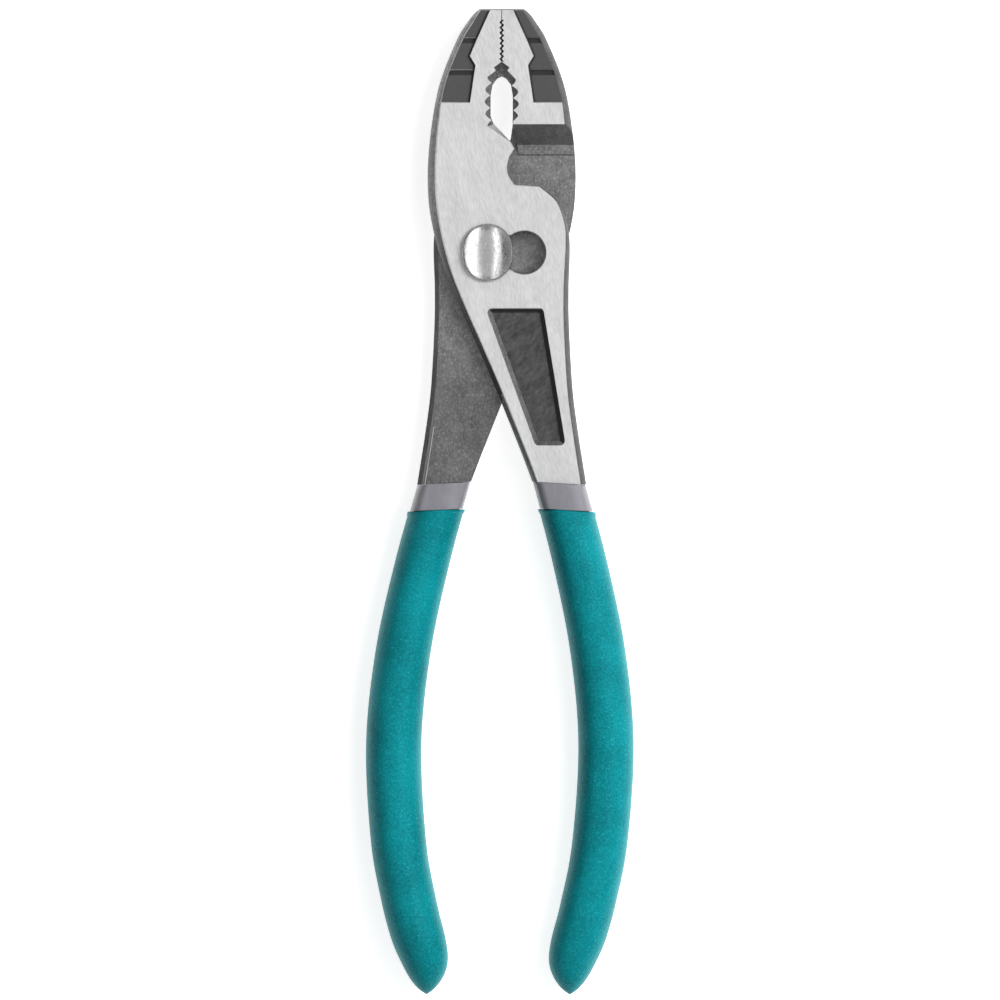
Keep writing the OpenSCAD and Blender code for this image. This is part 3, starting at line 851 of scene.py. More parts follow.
def shade(piece, bend=SMOOTH_BEND):
    """Shades a piece smooth, with sharp edges at hard bends and where its finish changes."""
    mesh = piece.data
    mesh.polygons.foreach_set("use_smooth", [True] * len(mesh.polygons))
    made = bmesh.new()
    made.from_mesh(mesh)
    for edge in made.edges:
        if len(edge.link_faces) == 2:
            one, other = edge.link_faces
            changes = one.material_index != other.material_index
            edge.smooth = not changes and edge.calc_face_angle(0) < bend
    made.to_mesh(mesh)
    made.free()


def slack(sizes):
    """How far from a surface a face may lie and still count as on it."""
    return sizes.lip / 8


def finish_forging(piece, sizes, turned_over):
    """Gives each face of a forging the finish of the surface that it lies on."""
    piece.data.materials.clear()
    for make in (ground_steel, forged_steel, jaw_pad, shade_black, panel_floor, worn_edge,
                 shaded_wall, flank_scale_and_shade):
        piece.data.materials.append(make())
    neck, foot = handle_x(-sizes.shank_length), -sizes.shank_length
    tilt = bpy.context.scene.pliers_handles.edge_tilt
    back = [(neck + sizes.shank_width / 2, foot), *places(sizes, BACK_EDGE_SHARES)]
    lines = (places(sizes, PAD_SHARES)[::-1], places(sizes, PANEL_SHARES), np.array(back),
             places(sizes, (PIPE_FOOT_SHARES, PIPE_SLANT_SHARES)))
    for face in piece.data.polygons:
        place, normal = face.center.copy(), face.normal.copy()
        if turned_over:
            place = Vector(turned(place, sizes))
            normal.x, normal.z = -normal.x, -normal.z
        # Painted shade: the steel inside a liner goes near-black, so the seam at its mouth shows dark
        if place.y < foot - tilt * (place.x - neck) + slack(sizes):
            face.material_index = SHADE_BLACK
        else:
            face.material_index = finish_at(sizes, lines, place, normal)


def finish_at(sizes, lines, place, normal):
    """The finish of a lever's surface at a place, as the front lever lies."""
    pad, panel, back, slant = lines
    away = place.z - middle(sizes)
    depth = sizes.plate - abs(away)
    inner = np.interp(place.y, pad[:, 1], pad[:, 0])
    near = slack(sizes)
    if place.y > pad[0][1] - near and place.x < inner + near and depth > near:
        return finish_on_pad(sizes, place, normal, depth, inner)
    if abs(normal.z) > LEVEL and depth < near:
        return GROUND
    found = None
    if away > 0:
        found = finish_in_panel(sizes, panel, place, normal, depth)
    elif away < 0:
        found = finish_under_step(sizes, place, normal, depth)
    if found is None:
        found = finish_on_sides(sizes, back, slant, place, normal)
    return found


def finish_on_pad(sizes, place, normal, depth, inner):
    """The finish within the pads beside a jaw's tip; groove floors, inner walls and lapped faces get
    painted shade.
    """
    below = depth - sizes.pad_depth
    near = slack(sizes)
    # Painted shade: groove floors and the pad's inner walls take the near-black, lapped faces the
    # dark grey
    if abs(normal.z) > LEVEL:
        return PAD if below < near else SHADE_BLACK
    across = abs(normal.y) > SQUARE
    if across and below < 0 and place.y < PAD_SHARES[-2][1] * sizes.jaw_length:
        return EDGE
    if place.x > inner - sizes.pad_wall - near and below < near:
        return SHADE_BLACK
    lapped = place.z < middle(sizes)
    if 0 < below < sizes.lip + near and abs(normal.z) > SLOPE:
        return WALL if lapped else EDGE
    if across and below < sizes.groove_depth + near:
        return SHADE_BLACK
    return WALL if lapped else FORGED


def finish_in_panel(sizes, panel, place, normal, depth):
    """The finish of the sunk panel's floor and walls, the walls turned away from the light in painted
    shade; none elsewhere.
    """
    up = abs(normal.z)
    if place.y >= panel[0][1] + sizes.panel_corner:
        return None
    if up > LEVEL and abs(depth - sizes.panel_depth) < slack(sizes):
        return PANEL
    if LEAN < up < SQUARE and depth < sizes.panel_depth and inside(panel, place, sizes):
        # Painted shade: walls that face down or left go near-black, the others keep the skin
        return SHADE_BLACK if normal.x + normal.y < -LEAN else FORGED
    return None


def finish_under_step(sizes, place, normal, depth):
    """The finish of the wall under a jaw's step, its foot and the band beside it, all in painted
    shade; or none.
    """
    if abs(normal.z) > LEVEL:
        return None
    step, foot = WALL_STEP_SHARE * sizes.jaw_length, WALL_FOOT_SHARE * sizes.jaw_length
    # Painted shade: dark grey on the wall under the step and the band beside it, near-black in the
    # crease at its foot
    down = normal.y < -HALF_OVER and abs(normal.z) > HALF_OVER
    if down and place.y > step and depth < sizes.plate * (1 - WALL_RISE_SHARE):
        return WALL
    if foot - slack(sizes) < place.y < foot + sizes.lip + slack(sizes):
        return SHADE_BLACK
    outside = place.x < sizes.pivot_offset - sizes.head_width / 4
    return WALL if outside and place.y > step and normal.x < -LEAN else None


def finish_on_sides(sizes, back, slant, place, normal):
    """The finish of a lever's bands, flanks, worked edges and plain skin; back bands, the front flank
    and the lips where the jaws meet get painted shade.
    """
    up, away = abs(normal.z), place.z - middle(sizes)
    depth = sizes.plate - abs(away)
    gained = depth - sizes.plate + sizes.handle_gain
    outer = np.interp(place.y, back[:, 1], back[:, 0])
    # Painted shade: the back bands take the dark grey, apart from a worn ridge
    if place.y < back[-1][1] and place.x > outer - sizes.band_width and LEAN < up < LEVEL:
        ridge = away < 0 and gained < sizes.lip / 2 or 0 < away < sizes.lip / 2
        return EDGE if ridge else WALL
    # Painted shade: the front lever's flank darkens from the pivot down
    if away > 0 and normal.x < -LEAN and depth > sizes.lip / 2 and place.x < sizes.pivot_offset:
        return FLANK
    low, high = slant
    if normal.x > LEAN and LEAN < up < SQUARE and high[0] - sizes.band_width < place.x:
        if low[1] - slack(sizes) < place.y < high[1] and depth > slack(sizes):
            return EDGE
    if not SLOPE < up < LEVEL:
        return FORGED
    # Painted shade: near-black on the lips where the jaws meet near the tips
    if place.x > contact_x(sizes) - sizes.lip and depth < sizes.lip:
        if place.y > WEB_TOP_SHARE * sizes.jaw_length:
            return SHADE_BLACK
    near_top = depth < sizes.lip or away < 0 and -slack(sizes) < gained < sizes.lip
    return EDGE if near_top else FORGED


def inside(corners, place, sizes):
    """Whether a place lies within a loop's corners, or as far outside as the panel's radius."""
    if area(corners) < 0:
        corners = corners[::-1]
    reach = sizes.panel_corner + 2 * sizes.lip
    step = np.roll(corners, -1, 0) - corners
    apart = np.array([place.x, place.y]) - corners
    side = (step[:, 0] * apart[:, 1] - step[:, 1] * apart[:, 0]) / np.linalg.norm(step, axis=1)
    return side.min() > -reach


def mount_piece(piece, body, slot, *nodes):
    """Puts a piece on its body, in place of its nodes. Its slot is not used."""
    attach(piece, body)
    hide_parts(*nodes)


def make_front_lever():
    """The front lever, with the slot that the bolt slips along."""
    sizes, joint = settings_of("levers", "joint")
    piece = forging(
        "front_lever_forging", FRONT_THROAT_SHARES, shift=0, notches=sizes.pipe_notches,
        first=0, side=-1)
    low, high = middle(sizes) - sizes.plate / 2, front(sizes)
    slot = hole_cutter(slot_loop(joint), low, high, sizes.lip, sizes.plate)
    combine(piece, slot, "DIFFERENCE")
    tidy_mesh(piece)
    finish_forging(piece, sizes, False)
    shade(piece)
    mount_piece(piece, "front", "ground_steel", "front_lever")


def make_rear_lever():
    """The rear lever, with the bolt's bore and the nut's recess in its back."""
    sizes, joint = settings_of("levers", "joint")
    piece = forging(
        "rear_lever_forging", REAR_THROAT_SHARES, shift=sizes.pipe_shift,
        notches=sizes.pipe_notches - 1, first=1, side=1)
    turn_over(piece, sizes)
    bore = round_loop(joint.bore / 2)
    combine(piece, prism(bore, -sizes.plate, middle(sizes) + sizes.plate / 2), "DIFFERENCE")
    recess = round_loop(joint.nut_flats / math.sqrt(3) + joint.nut_room)
    depth = joint.nut_height + joint.play
    steps = [(-sizes.plate, sizes.lip), (sizes.rest_gap, sizes.lip),
             (sizes.rest_gap + sizes.lip, 0), (depth, 0)]
    tool = loft("cutter", [ring(inset(recess, -grow), z) for z, grow in steps])
    combine(piece, tool, "DIFFERENCE")
    tidy_mesh(piece)
    finish_forging(piece, sizes, True)
    shade(piece)
    mount_piece(piece, "rear", "forged_steel", "rear_lever")


def oval_radii(half_width, half_length):
    """The radius at each angle of an oval with straight sides and round ends."""
    straight = half_length - half_width
    side = half_width / np.maximum(np.abs(np.cos(BORE_ANGLES)), TINY)
    over = straight * np.abs(np.sin(BORE_ANGLES))
    end = over + np.sqrt(half_width ** 2 - (straight * np.cos(BORE_ANGLES)) ** 2)
    return np.where(side * np.abs(np.sin(BORE_ANGLES)) <= straight, side, end)


def thread_rings(sizes, joint):
    """The bolt's end: a chamfer, and the turns of its thread up to the top of the nut."""
    thread = joint.thread / 2
    chamfer = 2 * sizes.lip
    rings = [around(thread - 2 * chamfer, sizes.lip / 2), around(thread - END_SHARE * chamfer, 0),
             around(thread - chamfer, 0), around(thread, chamfer)]
    turns = np.arange(chamfer, joint.nut_height, joint.thread_pitch / THREAD_STEPS)
    for z in turns[1:]:
        wave = 0.5 - 0.5 * np.cos(BORE_ANGLES - 2 * math.pi * z / joint.thread_pitch)
        rings.append(around(thread - wave * joint.thread_pitch * THREAD_DEPTH_SHARE, z))
    rings.append(around(thread - chamfer / 2, joint.nut_height))
    return rings


def dome_rings(joint, head):
    """The top of the oval head: a shallow dome whose rim is rounded."""
    half_width, half_length = joint.head_width / 2, joint.head_length / 2
    drop = joint.head_height - joint.head_rim
    dome = (half_length ** 2 + drop ** 2) / (2 * drop)
    outline = oval_radii(half_width, half_length)
    rings = []
    for k in range(DOME_RINGS):
        inward = math.sin(math.pi / 2 * (k + 1) / (DOME_RINGS + 1))
        radii = outline * (1 - inward ** 2)
        height = joint.head_height - dome + np.sqrt(dome ** 2 - radii ** 2)
        gap = np.clip((outline - radii) / joint.head_round, 0, 1)
        rounding = joint.head_round * (1 - np.sqrt(1 - (1 - gap) ** 2))
        loop = around(radii, head)
        loop[:, 2] += height - rounding * RIM_DROP_SHARE
        rings.append(loop)
    return rings


def make_bolt():
    """The bolt: threaded end, round stretch, flats for the slot's neck, oval domed head."""
    sizes, joint = settings_of("levers", "joint")
    shank = joint.bore / 2 - joint.fit
    flat = (joint.neck / 2 - joint.fit) / np.maximum(np.abs(np.sin(BORE_ANGLES)), TINY)
    flats = np.minimum(shank, flat)
    head = front(sizes) + joint.play
    half_width, half_length = joint.head_width / 2, joint.head_length / 2
    bevel = joint.head_round / 3
    rings = thread_rings(sizes, joint)
    rings += [around(shank, joint.nut_height), around(shank, middle(sizes)),
              around(flats, middle(sizes)), around(flats, head),
              around(oval_radii(half_width - bevel, half_length - bevel), head),
              around(oval_radii(half_width, half_length), head + bevel)]
    piece = loft("bolt_with_oval_head", rings + dome_rings(joint, head))
    piece.data.materials.append(scratched_chrome())
    shade(piece, BOLT_BEND)
    mount_piece(piece, "bolt", "bolt_chrome", "pivot_bolt")


def make_nut():
    """The nut: six flats, corners bevelled to arcs on its resting side, countersunk bore."""
    sizes, joint = settings_of("levers", "joint")
    sixth = math.pi / 3
    flats = joint.nut_flats / 2 / np.cos(BORE_ANGLES % sixth - sixth / 2)
    corner = joint.nut_flats / math.sqrt(3)
    start = joint.nut_flats / 2 - joint.nut_bevel / 2
    bore = joint.thread / 2 + joint.fit
    rings = []
    for k in range(EDGE_STEPS + 1):
        share = k / EDGE_STEPS
        cone = start + (corner - start) * share
        rings.append(around(np.minimum(flats, cone), joint.nut_bevel * share))
    top = joint.nut_height
    rings += [around(np.minimum(flats, corner - sizes.lip), top),
              around(bore + sizes.lip, top), around(bore, top - sizes.lip),
              around(bore, 2 * sizes.lip), around(bore + 2 * sizes.lip, 0)]
    piece = loft("nut_with_six_flats", rings, closed=True)
    piece.data.materials.append(zinc_plate())
    shade(piece)
    mount_piece(piece, "bolt", "nut_steel", "pivot_nut")


def round_lip(y, half_width, half_thickness, radius, square):
    """Sections that round a coat's upper edge at y, from its top face outwards and down."""
    rings = []
    for k in range(LIP_STEPS + 1):
        angle = math.pi / 2 * k / LIP_STEPS
        draw, drop = radius * (1 - math.sin(angle)), radius * (1 - math.cos(angle))
        rings.append(section(y - drop, half_width - draw, half_thickness - draw, square))
    return rings


def coat(name, rings, side, body):
    """A coat lofted through its rings, leaned with its handle; the rear one is turned over."""
    rings = leaned(rings, side)
    if body == "rear":
        rings = turned(rings, bpy.context.scene.pliers_levers)
    return loft(name, rings)


def make_liner(name, side, body, node):
    """The grey first coat of a handle: a collar that shows, and a covered sleeve, with painted shade
    at its mouth.
    """
    levers, handles = settings_of("levers", "handles")
    liner, steel, collar = layer_depths(handles)
    top = -levers.shank_length
    square = handles.collar_square
    half_width, half_thickness = handles.width / 2 - collar, handles.thickness / 2 - collar
    inner = layer(handles, top - handles.swell, steel - handles.layer_gap)[::-1]
    mouth = section(top, handles.width / 2 - steel + handles.layer_gap,
                    shank_thickness(levers, handles) + handles.layer_gap, handles.grip_square)
    low = top - handles.collar
    rings = inner + [mouth]
    rings += round_lip(top, half_width, half_thickness, handles.lip, square)
    rings += [section(top + (low - top) * k / LIP_STEPS, half_width, half_thickness, square)
              for k in range(1, LIP_STEPS + 1)]
    rings += layer(handles, low - handles.layer_gap, liner)
    piece = coat(name, rings, side, body)
    piece.data.materials.append(liner_coat())
    piece.data.materials.append(shade_black())
    # Painted shade: the first rings at the mouth take the near-black
    dark = range(len(inner), len(inner) + MOUTH_SHADE_RINGS)
    for face in piece.data.polygons:
        if min(face.vertices) // SECTION_SIDES in dark:
            face.material_index = 1
    shade(piece, COAT_BEND)
    mount_piece(piece, body, "liner_grey", node)


def make_grip(name, side, body, node):
    """The coloured second coat of a handle, with a slightly wider rim at its upper end."""
    levers, handles = settings_of("levers", "handles")
    liner = layer_depths(handles)[0]
    square = handles.grip_square
    top = -levers.shank_length - handles.collar - 2 * handles.layer_gap
    half_width, half_thickness = handles.width / 2, handles.thickness / 2
    rings = layer(handles, top, liner - handles.layer_gap)[::-1]
    rings += round_lip(
        top, half_width + handles.rim_width, half_thickness, handles.lip, square)
    for k in range(1, LIP_STEPS + 1):
        share = k / LIP_STEPS
        swell = handles.rim_width * (0.5 + 0.5 * math.cos(math.pi * share))
        y = top - handles.lip - (handles.rim_height - handles.lip) * share
        rings.append(section(y, half_width + swell, half_thickness, square))
    rings += layer(handles, top - handles.rim_height, 0)[1:]
    piece = coat(name, rings, side, body)
    piece.data.materials.append(grip_coat())
    shade(piece, COAT_BEND)
    mount_piece(piece, body, "grip_teal", node)


class Nodes:
    """Adds nodes to a tree and joins them up."""

    def __init__(self, tree):
        self.tree = tree

    def add(self, kind, **settings):
        """A node of a kind with its settings."""
        node = self.tree.nodes.new(kind)
        for key, value in settings.items():
            setattr(node, key, value)
        return node

    def join(self, source, target):
        """A link from an output to an input."""
        self.tree.links.new(source, target)

    def value(self, socket, value):
        """Sets an input to a number or a colour, or joins an output to it."""
        if isinstance(value, bpy.types.NodeSocket):
            self.join(value, socket)
        else:
            socket.default_value = value

    def maths(self, operation, first, second=0.0):
        """The result of a sum."""
        node = self.add("ShaderNodeMath", operation=operation)
        self.value(node.inputs[0], first)
        self.value(node.inputs[1], second)
        return node.outputs[0]

    def vector(self, operation, first, second=(0.0, 0.0, 0.0)):
        """The outputs of a sum with vectors; its second value is a number where it scales."""
        node = self.add("ShaderNodeVectorMath", operation=operation)
        self.value(node.inputs[0], first)
        self.value(node.inputs["Scale" if operation == "SCALE" else 1], second)
        return node.outputs

    def blend(self, share, first, second):
        """A colour between two others."""
        node = self.add("ShaderNodeMix", data_type="RGBA")
        self.value(node.inputs["Factor"], share)
        self.value(node.inputs[6], first)
        self.value(node.inputs[7], second)
        return node.outputs[2]

    def spread(self, value, low, high, to_low=0.0, to_high=1.0):
        """A value brought from one range to another."""
        node = self.add("ShaderNodeMapRange")
        for name, number in (("Value", value), ("From Min", low), ("From Max", high),
                             ("To Min", to_low), ("To Max", to_high)):
            self.value(node.inputs[name], number)
        return node.outputs["Result"]

    def noise(self, place, scale, detail, roughness=0.5):
        """Noise at a place."""
        node = self.add("ShaderNodeTexNoise")
        for name, value in (("Vector", place), ("Scale", scale), ("Detail", detail),
                            ("Roughness", roughness)):
            self.value(node.inputs[name], value)
        return node.outputs["Fac"]


def group(name, inputs, outputs, fill):
    """A shader node group with named sockets, made once."""
    tree = bpy.data.node_groups.get(name)
    if tree is None:
        tree = bpy.data.node_groups.new(name, "ShaderNodeTree")
        for title, value in inputs:
            kind = "NodeSocketVector" if isinstance(value, tuple) else "NodeSocketFloat"
            socket = tree.interface.new_socket(title, in_out="INPUT", socket_type=kind)
            socket.default_value = value
        for title in outputs:
            tree.interface.new_socket(title, in_out="OUTPUT", socket_type="NodeSocketFloat")
        nodes = Nodes(tree)
        given = nodes.add("NodeGroupInput").outputs
        taken = nodes.add("NodeGroupOutput").inputs
        fill(nodes, given, taken)
    return tree


def use_group(nodes, tree, **values):
    """The outputs of a group that a material uses, with values for its inputs."""
    node = nodes.add("ShaderNodeGroup", node_tree=tree)
    for name, value in values.items():
        nodes.value(node.inputs[name], value)
    return node.outputs


def millimetres(nodes, stretch=(1.0, 1.0, 1.0), turn=0.0):
    """Places on the piece in millimetres, turned about Z and stretched along each axis."""
    where = nodes.add("ShaderNodeTexCoord").outputs["Object"]
    spun = nodes.add("ShaderNodeVectorRotate", rotation_type="Z_AXIS")
    nodes.join(nodes.vector("SCALE", where, 1 / MM)["Vector"], spun.inputs["Vector"])
    nodes.value(spun.inputs["Angle"], turn)
    return nodes.vector("MULTIPLY", spun.outputs["Vector"], stretch)["Vector"]


def grain_group():
    """Fine grain: speckle from a few grains a millimetre, over slower cloudy changes."""
    def fill(nodes, given, taken):
        place = millimetres(nodes, given["Stretch"], given["Turn"])
        fine = nodes.noise(place, given["Grains"], 3.0, 0.65)
        slow = nodes.noise(place, given["Clouds"], 2.0)
        speckle = nodes.spread(fine, 0.3, 0.7)
        cloud = nodes.spread(slow, 0.3, 0.7)
        mixed = nodes.maths("ADD", nodes.maths("MULTIPLY", speckle, 0.65),
                            nodes.maths("MULTIPLY", cloud, 0.35))
        nodes.join(speckle, taken["Speckle"])
        nodes.join(cloud, taken["Cloud"])
        nodes.join(mixed, taken["Mixed"])
    inputs = (("Stretch", (1.0, 1.0, 1.0)), ("Turn", 0.0), ("Grains", 3.0), ("Clouds", 0.3))
    return group("Grain", inputs, ("Speckle", "Cloud", "Mixed"), fill)


def scratch_group():
    """Hair scratches that run about two ways, with gaps between them."""
    def fill(nodes, given, taken):
        masks = []
        for turn, reach in ((0.35, 0.6), (-0.5, 0.8)):
            place = millimetres(nodes, (1.0, 0.15, 0.15), turn)
            line = nodes.noise(place, given["Grains"], 2.0, 0.4)
            off = nodes.maths("ABSOLUTE", nodes.maths("SUBTRACT", line, 0.5))
            narrow = nodes.spread(off, 0.0, 0.012, 1.0, 0.0)
            where = nodes.spread(nodes.noise(place, 0.35, 1.0), 0.5, reach)
            masks.append(nodes.maths("MULTIPLY", narrow, where))
        both = nodes.maths("MAXIMUM", *masks)
        nodes.join(nodes.maths("MULTIPLY", both, given["Amount"]), taken["Mask"])
    return group("Scratches", (("Grains", 2.0), ("Amount", 1.0)), ("Mask",), fill)


def new_material(name, constants, **grain):
    """A material with its shader's constants set: also its nodes, inputs and grain's masks."""
    material = bpy.data.materials.new(name)
    material.use_nodes = True
    nodes = Nodes(material.node_tree)
    surface = material.node_tree.nodes["Principled BSDF"].inputs
    for socket, value in constants.items():
        surface[socket].default_value = value
    return material, nodes, surface, use_group(nodes, grain_group(), **grain)


def bump(nodes, surface, height, strength, depth):
    """Feeds a height to the surface's normal; the depth is in millimetres."""
    node = nodes.add("ShaderNodeBump")
    node.inputs["Strength"].default_value = strength
    node.inputs["Distance"].default_value = depth * MM
    nodes.join(height, node.inputs["Height"])
    nodes.join(node.outputs["Normal"], surface["Normal"])


def tint(base, share=1.0):
    """A share of a colour, with full alpha."""
    return (*[share * part for part in base], 1.0)


def textured(nodes, surface, tone, masks, rough, relief):
    """Feeds a tone to the surface, one mask to its roughness and another to its relief."""
    nodes.join(tone, surface["Base Color"])
    nodes.join(nodes.spread(masks[0], 0.0, 1.0, *rough), surface["Roughness"])
    bump(nodes, surface, masks[1], *relief)


def grained(name, dark, light, rough, relief, constants, masks=("Speckle", "Speckle"), **grain):
    """A material of two tones in a grain, with the masks that set roughness and relief."""
    material, nodes, surface, marks = new_material(name, constants, **grain)
    tone = nodes.blend(marks["Mixed"], dark, light)
    textured(nodes, surface, tone, [marks[mask] for mask in masks], rough, relief)
    return material


@cache
def ground_steel():
    """Bright ground steel: short grinding marks that lean, over a cloudy sheen."""
    ground = bpy.context.scene.pliers_finishes.ground
    return grained(
        "Ground steel", tint(ground, 0.72), tint(ground), rough=(0.36, 0.5), relief=(0.6, 0.04),
        constants={"Metallic": 0.4}, Stretch=(1.0, 0.22, 1.0), Turn=-0.22, Grains=2.6, Clouds=0.35)


@cache
def worn_edge():
    """Edges where wear and grinding show bright metal."""
    edge = bpy.context.scene.pliers_finishes.edge
    return grained(
        "Worn edge", tint(edge, 0.6), tint(edge), rough=(0.3, 0.5), relief=(0.3, 0.02),
        constants={"Metallic": 0.6}, Grains=2.2, Clouds=0.6)


@cache
def shaded_wall():
    """The milled wall under the step of a jaw, dark grey as painted shade; the same grey paints shade
    on bands and lapped faces.
    """
    wall = bpy.context.scene.pliers_finishes.wall
    return grained(
        "Shaded wall", tint(wall, 0.5), tint(wall, 1.5), rough=(0.5, 0.7), relief=(0.5, 0.05),
        constants={"Metallic": 0.4}, Stretch=(1.0, 0.5, 1.0), Grains=2.6, Clouds=0.5)


@cache
def forged_steel():
    """Dark forged skin: rough, with bright grains and slow mottling, a painted light on the face seen
    through the slot, and painted shade darker down the shanks.
    """
    finish = bpy.context.scene.pliers_finishes
    material, nodes, surface, skin = new_material("Forged steel", {"Metallic": 0.55}, **FORGED_GRAIN)
    tone = nodes.blend(skin["Mixed"], tint(finish.forged, 0.55), tint(finish.forged, 1.35))
    glint = nodes.spread(skin["Speckle"], 0.72, 0.95, 0.0, 0.8)
    tone = nodes.blend(glint, tone, tint(finish.forged_glint))
    # Painted light: the face seen through the slot's free end is brightened
    slot_light_tone = nodes.blend(
        skin["Mixed"], tint(finish.forged_glint, 0.8), tint(finish.forged_glint, 1.6))
    tone = nodes.blend(slot_light_disc(nodes), tone, slot_light_tone)
    # Painted shade: the skin darkens down the shanks
    low = nodes.spread(reach_along(nodes, SHANK_WAY), *SHANK_SHADE_SPAN, 1.0, SHANK_SHADE_SHARE)
    tone = nodes.vector("SCALE", tone, low)["Vector"]
    textured(nodes, surface, tone, 2 * [skin["Speckle"]], (0.62, 0.42), (0.6, 0.05))
    return material


def reach_along(nodes, way):
    """How far places lie along a way from the pivot, in millimetres."""
    return nodes.vector("DOT_PRODUCT", millimetres(nodes), way)["Value"]


def slot_light_disc(nodes):
    """A mask of painted light on the disc that the rear lever shows through the slot's free end."""
    joint = bpy.context.scene.pliers_joint
    centre = (joint.slip / MM, 0.0, 0.0)
    apart = nodes.vector("DISTANCE", millimetres(nodes, (1.0, 1.0, 0.0)), centre)["Value"]
    edge = joint.bore / 2 / MM
    start, end = (share * edge for share in SLOT_LIGHT_FADE)
    return nodes.spread(apart, start, end, SLOT_LIGHT_STRENGTH, 0.0)


@cache
def flank_scale_and_shade():
    """Forge scale of the flanks, with painted shade darkening it from the pivot down."""
    finish = bpy.context.scene.pliers_finishes
    material, nodes, surface, skin = new_material("Flank scale and shade", {"Metallic": 0.4}, **FORGED_GRAIN)
    tone = nodes.blend(skin["Mixed"], tint(finish.forged, 0.6), tint(finish.forged, 1.4))
    # Painted shade: from the skin's tone towards near-black down the flank
    scale = nodes.blend(skin["Mixed"], tint(finish.recess), tint(finish.wall, 0.6))
    low = nodes.spread(reach_along(nodes, FLANK_WAY), *FLANK_SHADE_SPAN)
    tone = nodes.blend(low, tone, scale)
    textured(nodes, surface, tone, 2 * [skin["Speckle"]], (0.65, 0.45), (0.8, 0.08))
    return material


@cache
def jaw_pad():
    """Smooth blackened steel beside the tips."""
    pad = bpy.context.scene.pliers_finishes.pad
    return grained(
        "Jaw pad", tint(pad, 0.85), tint(pad), rough=(0.5, 0.58), relief=(0.2, 0.01),
        constants={"Metallic": 0.2}, masks=("Cloud", "Speckle"), Grains=1.8, Clouds=0.25)


@cache
def shade_black():
    """Painted shade: near-black for walls, grooves, creases and gaps."""
    recess = bpy.context.scene.pliers_finishes.recess
    return grained(
        "Shade black", tint(recess), tint(recess, 1.8), rough=(0.55, 0.75), relief=(0.3, 0.02),
        constants={}, Grains=2.5, Clouds=0.5)


@cache
def panel_floor():
    """The floor of the sunk panel, left as struck by the die."""
    forged = bpy.context.scene.pliers_finishes.forged
    return grained(
        "Panel floor", tint(forged, 0.09), tint(forged, 0.55), rough=(0.5, 0.7),
        relief=(0.8, 0.12), constants={"Metallic": 0.4}, masks=("Speckle", "Mixed"),
        Stretch=(1.0, 0.45, 1.0), Turn=0.7, Grains=1.9, Clouds=0.6)


@cache
def scratched_chrome():
    """Bright chrome with handling marks, and painted shade at the head's rim."""
    finish, joint = settings_of("finishes", "joint")
    chrome = finish.chrome
    material, nodes, surface, haze = new_material(
        "Scratched chrome", {"Metallic": 1.0}, Stretch=(1.0, 0.5, 1.0), Grains=2.2, Clouds=0.7)
    scratches = use_group(nodes, scratch_group(), Grains=3.2, Amount=1.0)["Mask"]
    tone = nodes.blend(haze["Mixed"], tint(chrome), tint(chrome, 0.74))
    span = (2 * MM / joint.head_width, 2 * MM / joint.head_length, 0.0)
    out = nodes.vector("LENGTH", millimetres(nodes, span))["Value"]
    # Painted shade: the head darkens towards its rim
    tone = nodes.blend(nodes.spread(out, 0.94, 1.02), tone, tint(chrome, 0.3))
    nodes.join(tone, surface["Base Color"])
    rough = nodes.spread(haze["Mixed"], 0.2, 0.9, 0.14, 0.34)
    rough = nodes.maths("ADD", rough, nodes.maths("MULTIPLY", scratches, 0.25))
    nodes.join(rough, surface["Roughness"])
    relief = nodes.maths("ADD", scratches, nodes.maths("MULTIPLY", haze["Speckle"], 0.4))
    bump(nodes, surface, relief, 0.3, 0.02)
    return material


@cache
def zinc_plate():
    """Plated steel of the nut, with handling marks."""
    zinc = bpy.context.scene.pliers_finishes.zinc
    material, nodes, surface, haze = new_material(
        "Zinc plate", {"Metallic": 1.0}, Grains=2.0, Clouds=0.4)
    scratches = use_group(nodes, scratch_group(), Grains=2.0, Amount=0.7)["Mask"]
    tone = nodes.blend(haze["Mixed"], tint(zinc, 0.75), tint(zinc))
    masks = (haze["Mixed"], nodes.maths("ADD", scratches, haze["Speckle"]))
    textured(nodes, surface, tone, masks, (0.3, 0.45), (0.3, 0.02))
    return material


@cache
def liner_coat():
    """Smooth grey vinyl, glossy, with slow flow marks from dipping."""
    liner = bpy.context.scene.pliers_finishes.liner
    return grained(
        "Liner coat", tint(liner), tint(liner, 1.3), rough=(0.26, 0.38), relief=(0.2, 0.05),
        constants={"Coat Weight": 0.25, "Coat Roughness": 0.12}, masks=("Cloud", "Cloud"),
        Stretch=(1.0, 0.35, 1.0), Grains=0.9, Clouds=0.22)


@cache
def grip_coat():
    """Satin teal vinyl with a fine grain and pale flecks, and a painted sheen where it turns away."""
    finish = bpy.context.scene.pliers_finishes
    material, nodes, surface, grain = new_material(
        "Grip coat", {"Metallic": 0.1, "Specular IOR Level": 0.12}, Grains=2.4, Clouds=0.12)
    tone = nodes.blend(grain["Mixed"], tint(finish.grip_dark), tint(finish.grip))
    fleck = nodes.spread(grain["Speckle"], 0.72, 1.0, 0.0, 0.55)
    tone = nodes.blend(fleck, tone, tint(finish.grip_fleck_and_sheen))
    # Painted sheen: the coat pales where it turns away from the view
    turning = nodes.add("ShaderNodeLayerWeight")
    turning.inputs["Blend"].default_value = 0.5
    rim = nodes.spread(turning.outputs["Facing"], 0.45, 0.95, 0.0, 0.8)
    tone = nodes.blend(rim, tone, tint(finish.grip_fleck_and_sheen))
    textured(nodes, surface, tone, 2 * [grain["Speckle"]], (0.46, 0.34), (0.7, 0.06))
    return material


